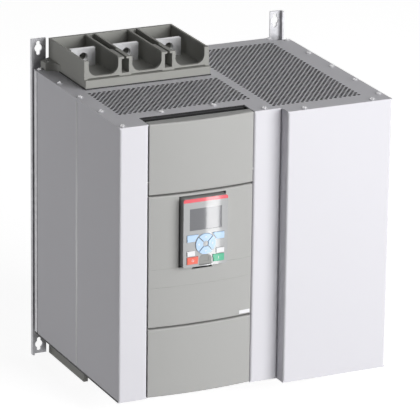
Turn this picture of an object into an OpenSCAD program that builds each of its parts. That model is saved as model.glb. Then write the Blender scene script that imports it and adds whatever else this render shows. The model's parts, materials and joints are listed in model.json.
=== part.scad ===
// Wall-mounted soft starter with a bypass module on its right side.
// Frame: +X to the right seen from the front, +Y towards the wall, +Z up.
// The origin is the centre of the back plate's wall face. All sizes are in millimetres.

/* [Body] */
// Width over the side panels
body_w = 435; // [420:1:460]
// Height over the top and bottom covers
body_h = 429; // [420:1:460]
// Depth from the wall face to the main front
main_d = 350; // [340:1:380]
// Width of the bypass module on the right
module_w = 173; // [165:1:185]
// How far the module front stands ahead of the main front
module_proud = 21.5; // [12:0.5:30]
// Thickness of the folded sheets
sheet_t = 2; // [1.5:0.25:2.5]
// Outside radius of the folds
fold_r = 3.5; // [3:0.25:5]
// Depth of the returns and flanges folded inwards
return_d = 15; // [13:0.5:18]
// Gap between the wall face and the rear edge of the side panels
panel_gap = 37; // [34:0.5:42]
// Distance of the crease in the left side behind the main front
crease_back = 159.5; // [140:0.5:180]
// Depth of that crease
crease_d = 0.7; // [0.2:0.1:1]

/* [Back plate] */
// Inset of the back plate from each side of the body
plate_inset = 3; // [1:0.5:6]
// Thickness of the back plate
plate_t = 3; // [2.5:0.25:4]
// Depth of the side flanges of the back plate
plate_flange_d = 10; // [8:0.5:14]
// Depth of the lips folded under the covers
plate_lip_d = 17; // [16:0.5:19]
// Rise of the upper fixing tabs above the body
tab_top = 41.5; // [38:0.5:48]
// Drop of the lower fixing tabs below the body
tab_bot = 44.5; // [38:0.5:48]
// Width of a fixing tab on the left
tab_left_w = 25.5; // [24:0.5:30]
// Width of a fixing tab on the right
tab_right_w = 21; // [20.5:0.5:30]
// Diameter of the round middle of a keyhole
keyhole_d = 12.5; // [11:0.5:14]
// Width of the keyhole slots
keyslot_w = 6.5; // [5.5:0.5:7.5]
// End-to-end length of the keyhole slots
keyslot_len = 22.5; // [20:0.5:25]
// Distance of a keyhole from the end of its tab
keyhole_end = 15.2; // [13:0.1:18]
// Distance of a keyhole from the side edge of the plate
keyhole_edge = 13; // [12.5:0.5:15]

/* [Rear frame] */
// Gap between the wall face and the rear wall of the frame
frame_gap = 22.5; // [20:0.5:26]
// Joint between the side panel and the frame's side flange
frame_joint = 2; // [0.5:0.25:3]
// Width of a spacer rail
rail_w = 40; // [30:1:60]
// Distance of a spacer rail from the middle of the body
rail_x = 150; // [120:1:170]
// Distance of a rail's ends from the body's top and bottom
rail_end = 30; // [20:1:40]

/* [Front] */
// Width of the metal strip left of the moulded covers
left_strip_w = 46; // [40:0.5:52]
// Width of the bay that holds the moulded covers
bay_w = 171; // [165:0.5:180]
// Gap round the moulded covers
cover_gap = 1.6; // [1.2:0.1:2.2]
// Gap between two moulded covers
cover_split = 2.4; // [2.2:0.1:3]
// Height of the upper cover
upper_h = 109.5; // [100:0.5:118]
// Height of the middle cover
middle_h = 205.5; // [195:0.5:210]
// Wall of the moulded covers
cover_wall = 2.5; // [2:0.25:3]
// Depth of the cover walls behind the main front
cover_d = 15; // [13:0.5:18]
// Crown of the covers at their middle
cover_bow = 5.5; // [3:0.5:8]
// Rounding of the covers' upper and lower front edges
cover_edge = 2.4; // [1:0.2:2.4]
// Gap between the lower cover and the body's lower edge
lower_gap = 1; // [0.5:0.25:2]
// Upper groove line below the middle cover's top edge
groove_upper = 114; // [110:0.5:120]
// Lower groove line below the middle cover's top edge
groove_lower = 143; // [130:0.5:160]
// Width of a groove line
groove_w = 0.8; // [0.5:0.1:1.5]
// Depth of a groove line
groove_d = 0.5; // [0.3:0.1:1]
// Diameter of the hinge pegs of the upper cover
peg_d = 4; // [3:0.25:5]
// Height of the hinge pegs above the upper cover's lower edge
peg_rise = 20; // [18:0.5:26]
// Distance of the hinge pegs behind the main front
peg_back = 3.5; // [3:0.25:5]
// Radial clearance of the hinge pegs
peg_clear = 0.05; // [0.02:0.01:0.09]
// Height of the boss behind a hinge peg
boss_h = 10; // [8:0.5:12]
// How far the boss thickens the cover's side wall
boss_t = 1; // [0.5:0.25:2]
// How far the boss reaches ahead of the peg
boss_front = 3; // [2.5:0.25:4]
// Depth of the terminal pocket behind the cover walls
pocket_d = 15; // [13:0.5:18]
// Wall of the moulded carrier
carrier_t = 3; // [2.5:0.25:3.5]
// Diameter of a wire hole in the terminal pocket
wire_hole_d = 6; // [4:0.5:8]
// Distance between wire holes
wire_hole_pitch = 24; // [20:1:26]
// Height of the wire holes above the pocket's step
wire_hole_rise = 18; // [14:1:24]

/* [Top and bottom covers] */
// Depth of the finger notch behind the main front
notch_d = 36; // [32:0.5:42]
// Rear edge of the cover between the tabs, from the wall face
cover_rear = 7; // [5:0.5:9]
// Rear edge of the cover at the tabs, from the wall face
cover_tab_rear = 24; // [22.5:0.5:28]
// Clearance between the cover and a fixing tab
tab_clear = 2; // [1:0.25:3]
// Main grille from the body's left side
grille_left = 26.5; // [20:0.5:32]
// Main grille behind the main front
grille_front = 61.5; // [58:0.5:70]
// Gap between the main grille and the module
grille_right = 24.5; // [20:0.5:30]
// Gap between the main grille and the shroud
grille_rear = 18; // [14:0.5:24]
// How far the module grille reaches over the main body
module_grille_over = 10; // [4:0.5:12]
// Module grille from the body's right side
module_grille_right = 33; // [28:0.5:40]
// Module grille behind the main front
module_grille_front = 12; // [8:0.5:20]
// Module grille from the wall face
module_grille_rear = 30; // [28:0.5:52]
// Diameter of a vent hole
vent_d = 8; // [6:0.5:9]
// Distance between vent holes in one row
vent_pitch = 12; // [11:0.5:16]
// Head diameter of a cover screw
screw_head_d = 6; // [5.5:0.25:8]
// Height of a cover screw's head
screw_head_h = 2.2; // [1.8:0.2:2.8]
// Shank diameter of a cover screw
screw_d = 3; // [2.5:0.25:4]
// Radial clearance of a cover screw in its holes
screw_clear = 0.2; // [0.1:0.05:0.4]
// Distance of the screws from the body's sides
screw_edge = 7.5; // [7:0.25:9]
// Distance of the foremost side screws behind the main front
screw_front = 8; // [7:0.5:10]
// Distance of the rearmost side screws from the wall face
screw_rear = 30; // [28.5:0.5:32]
// Distance of the screws at the notch behind the main front
screw_notch = 50.5; // [46:0.5:56]
// Distance of the module's front screws and of the rear screw from the sides
screw_in = 30; // [24:0.5:36]
// Room beside a terminal bar in the covers
window_side = 4; // [3:0.5:6]
// Room before and behind a terminal bar in the covers
window_deep = 10; // [8:0.5:12]

/* [Terminal shrouds] */
// Distance between phases
phase_pitch = 71.5; // [68:0.5:76]
// Middle phase from the body's left side
phase_x = 133; // [125:0.5:140]
// Clear width of a terminal bay
bay_clear_w = 48.5; // [44:0.5:50]
// Wall between a bay and the slot beside it
bay_wall = 5.5; // [4:0.5:6.5]
// Outer wall of the shroud
shroud_wall = 7.3; // [5:0.1:9]
// Height of the shroud walls
shroud_h = 43; // [38:0.5:48]
// Height of the base rail
rail_h = 14; // [11:0.5:16]
// Height of the lip's lower edge in front of a bay
floor_h = 18; // [16:0.5:22]
// Corner radius of the opening in that lip
bay_r = 14; // [10:0.5:18]
// Thickness of the lip in front of a bay
lip_t = 5; // [3:0.5:7]
// How far the lip stands in from a bay's side walls
lip_side = 2.5; // [1.5:0.25:3]
// Height of a bay's floor behind the lip
bay_floor_h = 11; // [9:0.5:13]
// Outer side walls of the shroud behind the lip
shell_t = 3; // [2.5:0.25:4]
// Shroud front from the wall face
shroud_front = 149; // [140:1:160]
// How far the base rail stands ahead of the bays
rail_proud = 6.5; // [4:0.5:9]
// Shroud rear from the wall face
shroud_rear = 10.5; // [9:0.5:14]
// Slot clearance round a terminal bar
bar_clear = 0.5; // [0.3:0.1:0.8]
// Height of the slit over the base rail in front of a bay
slit_h = 1.5; // [1:0.1:2.5]
// Depth of that slit
slit_d = 4; // [3:0.5:6]
// Length of the closed pocket between two bays
pocket_len = 42; // [36:1:48]
// Wall behind that pocket, and its roof
pocket_wall = 3; // [2:0.25:4]
// Wall round the hollow underneath the shroud
hollow_wall = 4; // [3:0.25:6]
// Roof of that hollow
hollow_roof = 3; // [2:0.25:4]
// How far a fixing ear reaches out of the shroud
ear_reach = 17.5; // [15:0.5:18]
// Height of a fixing ear
ear_h = 12; // [9:0.5:14]
// Distance of an ear's screw from the shroud's side
ear_hole = 9; // [7:0.5:10]
// Distance of an ear's screw from the shroud's rear
ear_back = 20; // [16:0.5:24]
// Depth to which an ear's screw is sunk
ear_sink = 3.5; // [2.5:0.25:5]

/* [Power bars] */
// Width of a terminal bar
bar_w = 40; // [34:1:44]
// Thickness of a terminal bar
bar_t = 8; // [6:0.5:10]
// How far a terminal bar stands out of the body
bar_out = 38.5; // [34:0.5:42]
// Front face of a terminal bar from the wall face
bar_front = 72; // [66:0.5:78]
// Diameter of the terminal hole
bar_hole_d = 14; // [11:0.5:17]
// Distance of the terminal hole from the bar's end
bar_hole_end = 13; // [12:0.5:16]
// How far a bar laps over the front of its thyristor module
bar_lap = 45; // [40:1:50]
// Brazing seam between two flats of a bar
bar_seam = 0.1; // [0.05:0.05:0.2]

/* [Power stack] */
// Width of a heat sink
sink_w = 66; // [60:1:67]
// Height of a heat sink
sink_h = 236; // [200:2:250]
// Thickness of the heat sink's base
sink_base = 15; // [10:1:20]
// Fins of a heat sink
fin_n = 9; // [7:1:10]
// Thickness of a fin
fin_t = 2.6; // [2:0.2:3]
// Front of the heat sink base from the wall face
sink_front = 165; // [150:1:175]
// Depth of a thyristor module
thyristor_d = 40; // [34:1:48]
// Height of a thyristor module
thyristor_h = 190; // [180:2:210]
// Level of the bars' forward run under the body's top
run_z = 62; // [58:0.5:66]
// Width of a current transformer
ct_w = 62; // [56:1:66]
// Height of a current transformer
ct_h = 30; // [26:1:32]
// Length of a current transformer
ct_len = 32; // [24:1:40]
// Middle of a current transformer behind the front of the stack
ct_back = 75; // [60:1:90]
// Corner radius of a current transformer
ct_r = 4; // [2:0.5:6]
// Edge of the heat sink left free beside a thyristor module
module_edge = 4; // [3:0.5:6]
// Height of the recess in the front of a thyristor module
waist_h = 70; // [60:1:80]
// Depth of that recess
waist_d = 8; // [5:0.5:12]
// Height of the clamping groove at the ends of a thyristor module
clamp_h = 12; // [8:0.5:16]
// Width of that groove
clamp_t = 4; // [3:0.5:6]
// Foot of a thyristor module behind that groove
foot_t = 5; // [4:0.5:8]

/* [Bypass] */
// Width of the bypass contactor
contactor_w = 140; // [130:1:144]
// Height of the contactor
contactor_h = 150; // [140:1:156]
// Depth of the contactor
contactor_d = 135; // [120:1:150]
// Distance between the contactor's poles
pole_pitch = 45; // [40:1:46]
// Thickness of the bypass links
link_t = 6; // [4:0.5:8]
// Height of a bypass link
link_h = 18; // [14:1:20]
// Step between the levels of the links
link_step = 24; // [22:1:26]
// Stand-off of a link from its phase bar
link_gap = 8; // [6:0.5:10]
// Depth of the contactor's arc chamber
chamber_d = 60; // [50:1:70]
// Inset of the arc chamber from the contactor's sides
chamber_side = 6; // [4:0.5:10]
// Inset of the arc chamber from the contactor's ends
chamber_end = 18; // [12:1:24]
// Length of the contactor's terminal tongues
tongue_len = 48; // [44:1:52]
// Width of a tongue and of the link on it
tongue_w = 24; // [20:1:28]
// Gap between the contactor and the lowest link
link_rise = 9; // [8:0.5:12]
// Inset of a link's end from the side of its bar
link_end = 4; // [2:0.5:8]
// Gap between the contactor and the legs of its bracket
bracket_gap = 3; // [2:0.5:4]
// How far the bracket reaches past the contactor's ends
bracket_past = 10; // [6:1:14]
// How far the contactor's base stands behind the front of the stack
contactor_back = 15; // [10:1:20]

/* [Fans] */
// Side of a fan frame
fan_w = 119; // [110:1:120]
// Height of a fan frame
fan_h = 38; // [32:1:38]
// Wall of a fan frame at its narrowest
fan_wall = 3; // [2.5:0.25:4]
// Hub diameter of a fan rotor
hub_d = 48; // [40:1:56]
// Blades of a fan rotor
blade_n = 7; // [5:1:9]
// Pitch angle of a blade
blade_angle = 38; // [30:1:45]
// Diameter of the fan's shaft
shaft_d = 8; // [6:0.5:10]
// Radial clearance of the fan's shaft
shaft_clear = 0.05; // [0.02:0.01:0.09]
// Middle of the fans from the wall face
fan_back = 142; // [130:1:150]
// Gap between the fans, and beside them
fan_gap = 2; // [1:0.5:3]
// Corner radius of a fan frame
fan_r = 6; // [4:0.5:8]
// Distance of a fan's fixing holes from its sides
fan_hole_edge = 7; // [6.5:0.25:8]
// Thickness of a fan's motor plate and struts
motor_plate_t = 5; // [4:0.5:6]
// Width of a strut
strut_w = 6; // [5:0.5:8]
// Thickness of a blade
blade_t = 2; // [1.6:0.2:2.6]
// Chord of a blade
blade_chord = 36; // [30:1:38]
// Height of a rotor
rotor_h = 26; // [22:1:28]
// Gap between a rotor and its motor plate
rotor_gap = 1; // [0.6:0.1:1.5]
// Gap between the blade tips and the frame
tip_gap = 2; // [1:0.25:3]
// Roof of the hub over the end of the shaft
hub_roof = 3; // [2:0.25:4]

/* [Control] */
// Thickness of a circuit board
board_t = 1.6; // [1.2:0.2:2]
// Gap between the front carrier and the control board
board_gap = 10; // [8:0.5:12]
// Inset of the control board from the sides of the moulded front
board_side = 8; // [5:0.5:12]
// How far the control board ends under the pocket of the terminals
board_drop = 20; // [15:1:30]
// How far the control board reaches down behind the lower cover
board_reach = 40; // [20:1:60]
// Diameter of the control board's posts
post_d = 7; // [5:0.5:8]
// Capacitors in the row on the control board
cap_n = 4; // [3:1:5]
// Diameter of a capacitor
cap_d = 24; // [18:1:26]
// Length of a capacitor
cap_len = 34; // [20:1:40]
// Side of the cooling block on the control board
cooler_w = 44; // [36:1:50]
// Depth of the cooling block
cooler_d = 26; // [15:1:30]
// Blocks of control terminals
block_n = 4; // [3:1:4]
// Poles of one block
pole_n = 6; // [4:1:6]
// Distance between the poles of a block
pole_step = 5.6; // [5:0.1:5.8]
// Gap between two blocks
block_gap = 4; // [3:0.5:5]
// Height of a block
block_h = 18; // [15:0.5:20]
// Depth of a block
block_d = 11; // [9:0.5:12]
// Depth of the blocks' upper side under the body's top
block_drop = 40; // [35:1:50]
// Diameter of a terminal's screw hole
pole_hole_d = 3.4; // [2.6:0.2:3.8]

/* [Keypad] */
// Width of the keypad
pad_w = 72; // [68:0.5:74]
// Height of the keypad
pad_h = 106.5; // [102:0.5:108]
// Thickness of the keypad
pad_d = 23; // [20:0.5:26]
// How far the keypad stands out of the crowned cover
pad_proud = 11; // [8:0.5:14]
// Corner radius of the keypad
pad_r = 3; // [2:0.5:5]
// Clearance round the keypad in its recess
pad_clear = 2; // [1:0.25:2.5]
// Keypad top below the middle cover's top edge
pad_drop = 5.6; // [5:0.2:8]
// Middle of the keypad from the body's left side
pad_x = 132; // [128:0.5:136]
// Thickness of the keypad's front plate
fascia_t = 2.6; // [2.2:0.2:3.2]
// Wall of the keypad's rear housing
pad_wall = 2; // [1.5:0.25:2.5]
// Height of the colour band
band_h = 5.5; // [4:0.5:7]
// Clearance round a key
key_clear = 0.35; // [0.3:0.05:0.5]
// How far a key stands out of the front plate
key_proud = 1.4; // [1.2:0.1:2]
// Outer radius of the arrow ring
ring_r = 16; // [14:0.5:17]
// Inner radius of the arrow ring
ring_in_r = 4.6; // [4:0.2:6]
// Gap between two arrow keys
ring_gap = 1.4; // [1.2:0.1:2]
// Middle of the arrow ring below the keypad's top
ring_drop = 71.8; // [71:0.1:73]
// Gap between the arrow ring and the keys beside it
ring_side_gap = 2.4; // [2:0.1:3]
// Width of the screen window
screen_w = 52; // [48:0.5:56]
// Height of the screen window
screen_h = 34; // [30:0.5:38]
// Middle of the screen window below the keypad's top
screen_drop = 32.5; // [31:0.5:34]
// How far the screen window lies back in the front plate
screen_back = 0.5; // [0.2:0.1:0.8]
// Clearance round the screen window
screen_clear = 0.1; // [0.05:0.05:0.3]
// Width of the keys in the keypad's corners
side_key_w = 18; // [16:0.5:19]
// Inset of those keys from the keypad's sides
side_key_in = 6; // [5:0.5:8]
// Width of the two small keys
small_key_w = 12.5; // [11:0.5:13]
// Height of the two small keys
small_key_h = 7.6; // [6.8:0.2:8]
// Height of the upper pair of keys
soft_key_h = 10.3; // [9:0.1:11]
// Upper edge of the upper pair below the keypad's top
soft_key_drop = 56; // [54:0.5:56.5]
// Upper edge of the small keys below the keypad's top
small_key_drop = 80.8; // [80:0.2:81.6]
// Height of the lower pair of keys
run_key_h = 10.8; // [9:0.1:11.4]
// Upper edge of the lower pair below the keypad's top
run_key_drop = 90.4; // [90:0.2:91]
// Room behind the front plate down to the keypad's board
board_room = 4; // [3:0.5:5]
// Room behind a key for its stroke
key_room = 1.6; // [1.2:0.1:2]
// Width of the flap over the socket
flap_w = 20; // [18:0.5:22]
// Height of the flap
flap_h = 15; // [13:0.5:16]
// Thickness of the flap
flap_t = 2.4; // [2:0.2:2.6]
// Lower edge of the flap over the keypad's lower edge
flap_rise = 2.2; // [1.8:0.2:3]
// Corner radius of the flap's arch
flap_r = 7; // [4:0.5:9]
// Gap between the flap and the keys beside it
flap_side_gap = 3; // [2.4:0.2:4]
// Diameter of the flap's pin
flap_pin_d = 1.4; // [1.2:0.1:1.6]
// Radial clearance of the flap's pin
flap_clear = 0.05; // [0.02:0.01:0.09]
// Length of the pin beside the flap
flap_pin_len = 1.3; // [1:0.1:2]
// Clearance at the ends of the pin
flap_end_clear = 0.3; // [0.3:0.1:0.6]
// Width of the sunk field on the flap
flap_field_w = 11; // [8:0.5:14]
// Height of the sunk field
flap_field_h = 6; // [4:0.5:8]
// Depth of the sunk field
flap_field_d = 0.6; // [0.3:0.1:0.9]
// Middle of the sunk field over the flap's lower edge
flap_field_rise = 8; // [6:0.5:9]
// Thickness of the colour band
band_t = 0.8; // [0.5:0.1:1.2]
// Gap behind the keypad in its recess
pad_seat = 0.5; // [0.3:0.1:1]
// Width of the finger notch under the keypad
finger_w = 32; // [24:1:40]
// Height of the finger notch
finger_h = 5; // [4:0.5:8]
// Floor left behind the finger notch
finger_back = 4; // [2:0.5:6]
// Width of the keypad's plug
plug_w = 22; // [16:1:28]
// Height of the keypad's plug
plug_h = 12; // [8:1:16]
// Clearance round the plug in the middle cover
plug_clear = 1; // [0.5:0.25:2]
// Clearance round the plug in the front carrier
plug_room = 9; // [6:0.5:12]
// Clearance round the keypad's board
board_clear = 0.1; // [0.05:0.05:0.3]

/* [Hidden] */
$fn = 48;
cut = 1;

plate_w = body_w - 2 * plate_inset;
plate_h = body_h + tab_top + tab_bot;
xl = -body_w / 2;
xr = body_w / 2;
top = plate_h / 2 - tab_top;
bot = -plate_h / 2 + tab_bot;
mid_z = (top + bot) / 2;
front = -main_d;
module_front = front - module_proud;
module_x = xr - module_w;
panel_rear = -panel_gap;
panel_z = bot + sheet_t;
panel_h = body_h - 2 * sheet_t;
frame_back = -frame_gap;
frame_wall = frame_back - sheet_t;

bay_x0 = xl + left_strip_w;
bay_x1 = bay_x0 + bay_w;
bay_mid = (bay_x0 + bay_x1) / 2;
cover_w = bay_w - 2 * cover_gap;
bow_r = (cover_w * cover_w / 4 + cover_bow * cover_bow) / (2 * cover_bow);
bow_centre_y = front - cover_bow + bow_r;
bow_half_angle = 9;
crown_depth = 60;
inner_edge = 0.4;
upper_z1 = top;
upper_z0 = upper_z1 - upper_h;
middle_z1 = upper_z0 - cover_split;
middle_z0 = middle_z1 - middle_h;
lower_z1 = middle_z0 - cover_split;
lower_z0 = bot + lower_gap;
peg_y = front + peg_back;
peg_z = upper_z0 + peg_rise;
moving_gap = 0.4;
carrier_step = 0.6;
seat_depth = 20;
carrier_front = front + cover_d;
carrier_top = middle_z1 - carrier_step;
pocket_floor = carrier_front + pocket_d;

phase_mid = xl + phase_x;
phases = [phase_mid - phase_pitch, phase_mid, phase_mid + phase_pitch];
slot_w = phase_pitch - bay_clear_w - 2 * bay_wall;
shroud_w = 2 * phase_pitch + bay_clear_w + 2 * shroud_wall;
bar_y = -bar_front;
stack_front = -sink_front - thyristor_d;
link_y = stack_front - bar_t - link_gap;

grille_main = [xl + grille_left, module_x - grille_right, front + grille_front,
  -shroud_front - rail_proud - grille_rear];
grille_module = [module_x - module_grille_over, xr - module_grille_right, front + module_grille_front,
  -module_grille_rear];
grille_inlet = [grille_main[0], grille_main[1], grille_main[2], bar_y - 2 * bar_t];
vent_row = vent_pitch * sqrt(3) / 2;

screw_len = 8;
screw_rear_edge = 5;
strip_screw_shift = 3;
shelf_past = 9.5;
screw_hole_d = screw_d + 2 * screw_clear;
head_rim = 0.7;
dome_h = screw_head_h - head_rim;
side_screws = 5;
screw_step = (main_d - screw_front - screw_rear) / (side_screws - 1);
shelf_d = screw_notch + shelf_past;
notch_screws = [bay_x0 + bay_w / 4, bay_x0 + bay_w * 3 / 4];
strip_screw = (bay_x1 + module_x) / 2 - strip_screw_shift;
module_screws = [module_x + screw_in, xr - screw_in];
rear_screw = [xr - screw_in, -cover_rear - screw_rear_edge];
contactor_mid = (module_x + xr) / 2;
rotor_z = panel_z + motor_plate_t + rotor_gap;
contactor_rear = stack_front + contactor_back;

pad_mid = xl + pad_x;
pad_top = middle_z1 - pad_drop;
pad_mid_z = pad_top - pad_h / 2;
pad_front = front - cover_bow - pad_proud;
pad_rear = pad_front + pad_d;
fascia_back = pad_front + fascia_t;
board_y = fascia_back + board_room;
key_back = board_y - key_room;
screen_z = -screen_drop;
ring_z = -ring_drop;
flap_z0 = flap_rise - pad_h;
flap_y = pad_front + flap_t / 2;
flap_pin_z = flap_z0 + flap_t / 2;
cooler_slots = 5;
cooler_step = cooler_w / (2 * cooler_slots + 1);
wire_holes = 6;

// Sheet along a path of square turns, folded round an outside radius and carried up a length
module folded(path, t, r, length) {
  last = len(path) - 1;
  mid_r = r - t / 2;
  for (i = [0 : last - 1]) {
    d = unit(path[i + 1] - path[i]);
    n = [-d[1], d[0]] * t / 2;
    a = path[i] + (i > 0 ? mid_r : 0) * d;
    b = path[i + 1] - (i < last - 1 ? mid_r : 0) * d;
    linear_extrude(length) polygon([a + n, b + n, b - n, a - n]);
  }
  for (i = [1 : 1 : last - 1]) {
    d0 = unit(path[i] - path[i - 1]);
    d1 = unit(path[i + 1] - path[i]);
    c = path[i] + (d1 - d0) * mid_r;
    linear_extrude(length) intersection() {
      translate(c) difference() {
        circle(r = r);
        circle(r = r - t);
      }
      polygon([c, c - d1 * r * 2, c - d1 * r * 2 + d0 * r * 2, c + d0 * r * 2]);
    }
  }
}

function unit(v) = v / norm(v);

// Folded sheet that stands along Z, its section drawn in plan
module upright_sheet(path, z0, h) {
  translate([0, 0, z0]) folded(path, sheet_t, fold_r, h);
}

// Outline drawn with X across and Z up, carried along Y from y0 towards the wall
module along_y(y0, length) {
  translate([0, y0 + length, 0]) rotate([90, 0, 0]) linear_extrude(length) children();
}

module block(low, high) {
  translate(low) cube(high - low);
}

module bore_x(d, x0, x1, y, z) {
  translate([x0, y, z]) rotate([0, 90, 0]) cylinder(d = d, h = x1 - x0);
}

module bore_y(d, x, y0, y1, z) {
  translate([x, y1, z]) rotate([90, 0, 0]) cylinder(d = d, h = y1 - y0);
}

module upside_down() {
  translate([0, 0, mid_z]) mirror([0, 0, 1]) translate([0, 0, -mid_z]) children();
}

module rounded_rect(w, h, r) {
  square([w - 2 * r, h], center = true);
  square([w, h - 2 * r], center = true);
  for (sx = [-1, 1], sy = [-1, 1]) translate([sx * (w / 2 - r), sy * (h / 2 - r)]) circle(r = r);
}

// Sheet-metal body

module keyhole() {
  slot_end = keyslot_len / 2 - keyslot_w / 2;
  circle(d = keyhole_d);
  square([keyslot_w, 2 * slot_end], center = true);
  for (s = [-1, 1]) translate([0, s * slot_end]) circle(d = keyslot_w);
}

module back_plate() color("silver") {
  px = plate_w / 2;
  pz = plate_h / 2;
  lip_x0 = -px + tab_left_w;
  lip_w = plate_w - tab_left_w - tab_right_w;
  difference() {
    union() {
      along_y(-plate_t, plate_t) difference() {
        square([plate_w, plate_h], center = true);
        for (span = [[top - sheet_t, pz + cut], [-pz - cut, bot + sheet_t]])
          translate([lip_x0, span[0]]) square([lip_w, span[1] - span[0]]);
        for (sx = [-1, 1], sz = [-1, 1])
          translate([sx * (px - keyhole_edge), sz * (pz - keyhole_end)]) keyhole();
      }
      for (sx = [-1, 1])
        translate([sx * (px - plate_t / 2), -plate_flange_d / 2, 0])
          cube([plate_t, plate_flange_d, plate_h], center = true);
      for (z = [top - sheet_t - plate_t, bot + sheet_t])
        block([lip_x0, -plate_lip_d, z], [lip_x0 + lip_w, -plate_t / 2, z + plate_t]);
    }
    for (sx = [-1, 1]) translate([sx * px, 0, -pz - cut]) fold_cut(sx);
    screw_hole(rear_screw[0], rear_screw[1]);
  }
}

// Rounds the outside of the back plate's flange fold
module fold_cut(side) {
  linear_extrude(plate_h + 2 * cut) difference() {
    translate([side > 0 ? -plate_t : -cut, -plate_t]) square(plate_t + cut);
    translate([-side * plate_t, -plate_t]) circle(r = plate_t);
  }
}

module spacer_rails() color("dimgray") {
  rail_d = frame_gap - plate_t;
  for (x = [-rail_x, rail_x])
    translate([x, 0, 0])
      upright_sheet([[-rail_w / 2, -plate_t - rail_d],
        [-rail_w / 2, -plate_t - sheet_t / 2],
        [rail_w / 2, -plate_t - sheet_t / 2],
        [rail_w / 2, -plate_t - rail_d]], bot + rail_end, body_h - 2 * rail_end);
}

module rear_frame() color("silver") {
  side_front = panel_rear + frame_joint;
  difference() {
    union() {
      upright_sheet([[xl + sheet_t / 2, side_front], [xl + sheet_t / 2, frame_back - sheet_t / 2],
        [xr - sheet_t / 2, frame_back - sheet_t / 2], [xr - sheet_t / 2, side_front]], panel_z, panel_h);
      for (z = [panel_z, top - 2 * sheet_t])
        block([xl + sheet_t, frame_wall - return_d, z],
          [xr - sheet_t, frame_wall + sheet_t / 2, z + sheet_t]);
    }
    for (x = [xl + screw_edge, xr - screw_edge]) side_screw_holes(x);
  }
}

module left_side_panel() color("silver") {
  x = xl + sheet_t / 2;
  x1 = bay_x0 - sheet_t / 2;
  y = front + sheet_t / 2;
  difference() {
    union() {
      upright_sheet([[x, panel_rear], [x, y], [x1, y], [x1, front + return_d]], panel_z, panel_h);
      side_flanges(xl + sheet_t / 2, xl + return_d, front + sheet_t / 2);
    }
    bore_x(peg_d + 2 * peg_clear, bay_x0 - sheet_t - cut, bay_x0 + cut, peg_y, peg_z);
    side_screw_holes(xl + screw_edge);
    translate([xl, front + crease_back, mid_z]) rotate([0, 0, 45])
      cube([crease_d * sqrt(2), crease_d * sqrt(2), body_h], center = true);
  }
}

// Upper and lower flanges of a side panel, which take the cover screws
module side_flanges(x0, x1, y0) {
  for (z = [panel_z, top - 2 * sheet_t])
    block([x0, y0, z], [x1, frame_wall - return_d - frame_joint, z + sheet_t]);
}

// Upper and lower flanges behind a front face
module front_flanges(x0, x1, y) {
  for (z = [panel_z, top - 2 * sheet_t]) block([x0, y + sheet_t / 2, z], [x1, y + return_d, z + sheet_t]);
}

// Clearance hole of a cover screw, through the upper and lower flange alike
module screw_hole(x, y) {
  translate([x, y, bot]) cylinder(d = screw_hole_d, h = body_h);
}

module side_screw_holes(x) {
  for (y = screw_rows()) screw_hole(x, y);
}

function screw_rows() = [for (i = [0 : side_screws - 1]) front + screw_front + i * screw_step];

module front_strip() color("whitesmoke") {
  x0 = bay_x1 + sheet_t / 2;
  x1 = module_x - sheet_t / 2;
  y = front + sheet_t / 2;
  difference() {
    union() {
      upright_sheet([[x0, front + return_d], [x0, y], [x1, y], [x1, front + return_d]], panel_z, panel_h);
      front_flanges(x0, x1, front);
    }
    bore_x(peg_d + 2 * peg_clear, bay_x1 - cut, bay_x1 + sheet_t + cut, peg_y, peg_z);
    screw_hole(strip_screw, front + screw_edge);
  }
}

module module_cover() color("whitesmoke") {
  x0 = module_x + sheet_t / 2;
  x1 = xr - sheet_t / 2;
  y = module_front + sheet_t / 2;
  difference() {
    union() {
      upright_sheet([[x0, front + return_d], [x0, y], [x1, y], [x1, panel_rear]], panel_z, panel_h);
      side_flanges(xr - return_d, xr - sheet_t / 2, module_front + sheet_t / 2);
      front_flanges(module_x + sheet_t / 2, xr - return_d + cut, module_front);
    }
    side_screw_holes(xr - screw_edge);
    for (x = module_screws) screw_hole(x, module_front + screw_edge);
  }
}

// Outline shared by the top and bottom covers, notched behind the moulded covers
module cover_outline(n) {
  tab_x0 = xl + plate_inset + tab_left_w + tab_clear;
  tab_x1 = xr - plate_inset - tab_right_w - tab_clear;
  polygon([[xl, -cover_tab_rear], [xl, front], [bay_x0, front], [bay_x0, front + n], [bay_x1, front + n],
    [bay_x1, front], [module_x, front], [module_x, module_front], [xr, module_front],
    [xr, -cover_tab_rear], [tab_x1, -cover_tab_rear], [tab_x1, -cover_rear],
    [tab_x0, -cover_rear], [tab_x0, -cover_tab_rear]]);
}

// Staggered vent holes that fill a field given by its left, right, front and rear edges
module vents(field) {
  x0 = field[0] + vent_d / 2;
  x1 = field[1] - vent_d / 2;
  y0 = field[2] + vent_d / 2;
  y1 = field[3] - vent_d / 2;
  rows = floor((y1 - y0) / vent_row);
  for (j = [0 : rows]) {
    shift = (j % 2) * vent_pitch / 2;
    for (i = [0 : floor((x1 - x0 - shift) / vent_pitch)])
      translate([x0 + shift + i * vent_pitch, y0 + j * vent_row]) circle(d = vent_d, $fn = 24);
  }
}

module bar_windows() {
  for (x = phases)
    translate([x - bar_w / 2 - window_side, bar_y - window_deep])
      square([bar_w + 2 * window_side, bar_t + 2 * window_deep]);
}

module top_cover() color("gray") {
  translate([0, 0, top - sheet_t]) linear_extrude(sheet_t) difference() {
    cover_outline(notch_d);
    vents(grille_main);
    vents(grille_module);
    bar_windows();
    for (p = cover_screws()) translate(p) circle(d = screw_hole_d);
  }
}

module bottom_cover() color("gray") {
  translate([0, 0, bot]) linear_extrude(sheet_t) difference() {
    cover_outline(cover_d);
    vents(grille_inlet);
    vents(grille_module);
    bar_windows();
    for (p = cover_screws()) translate(p) circle(d = screw_hole_d);
  }
}

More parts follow.
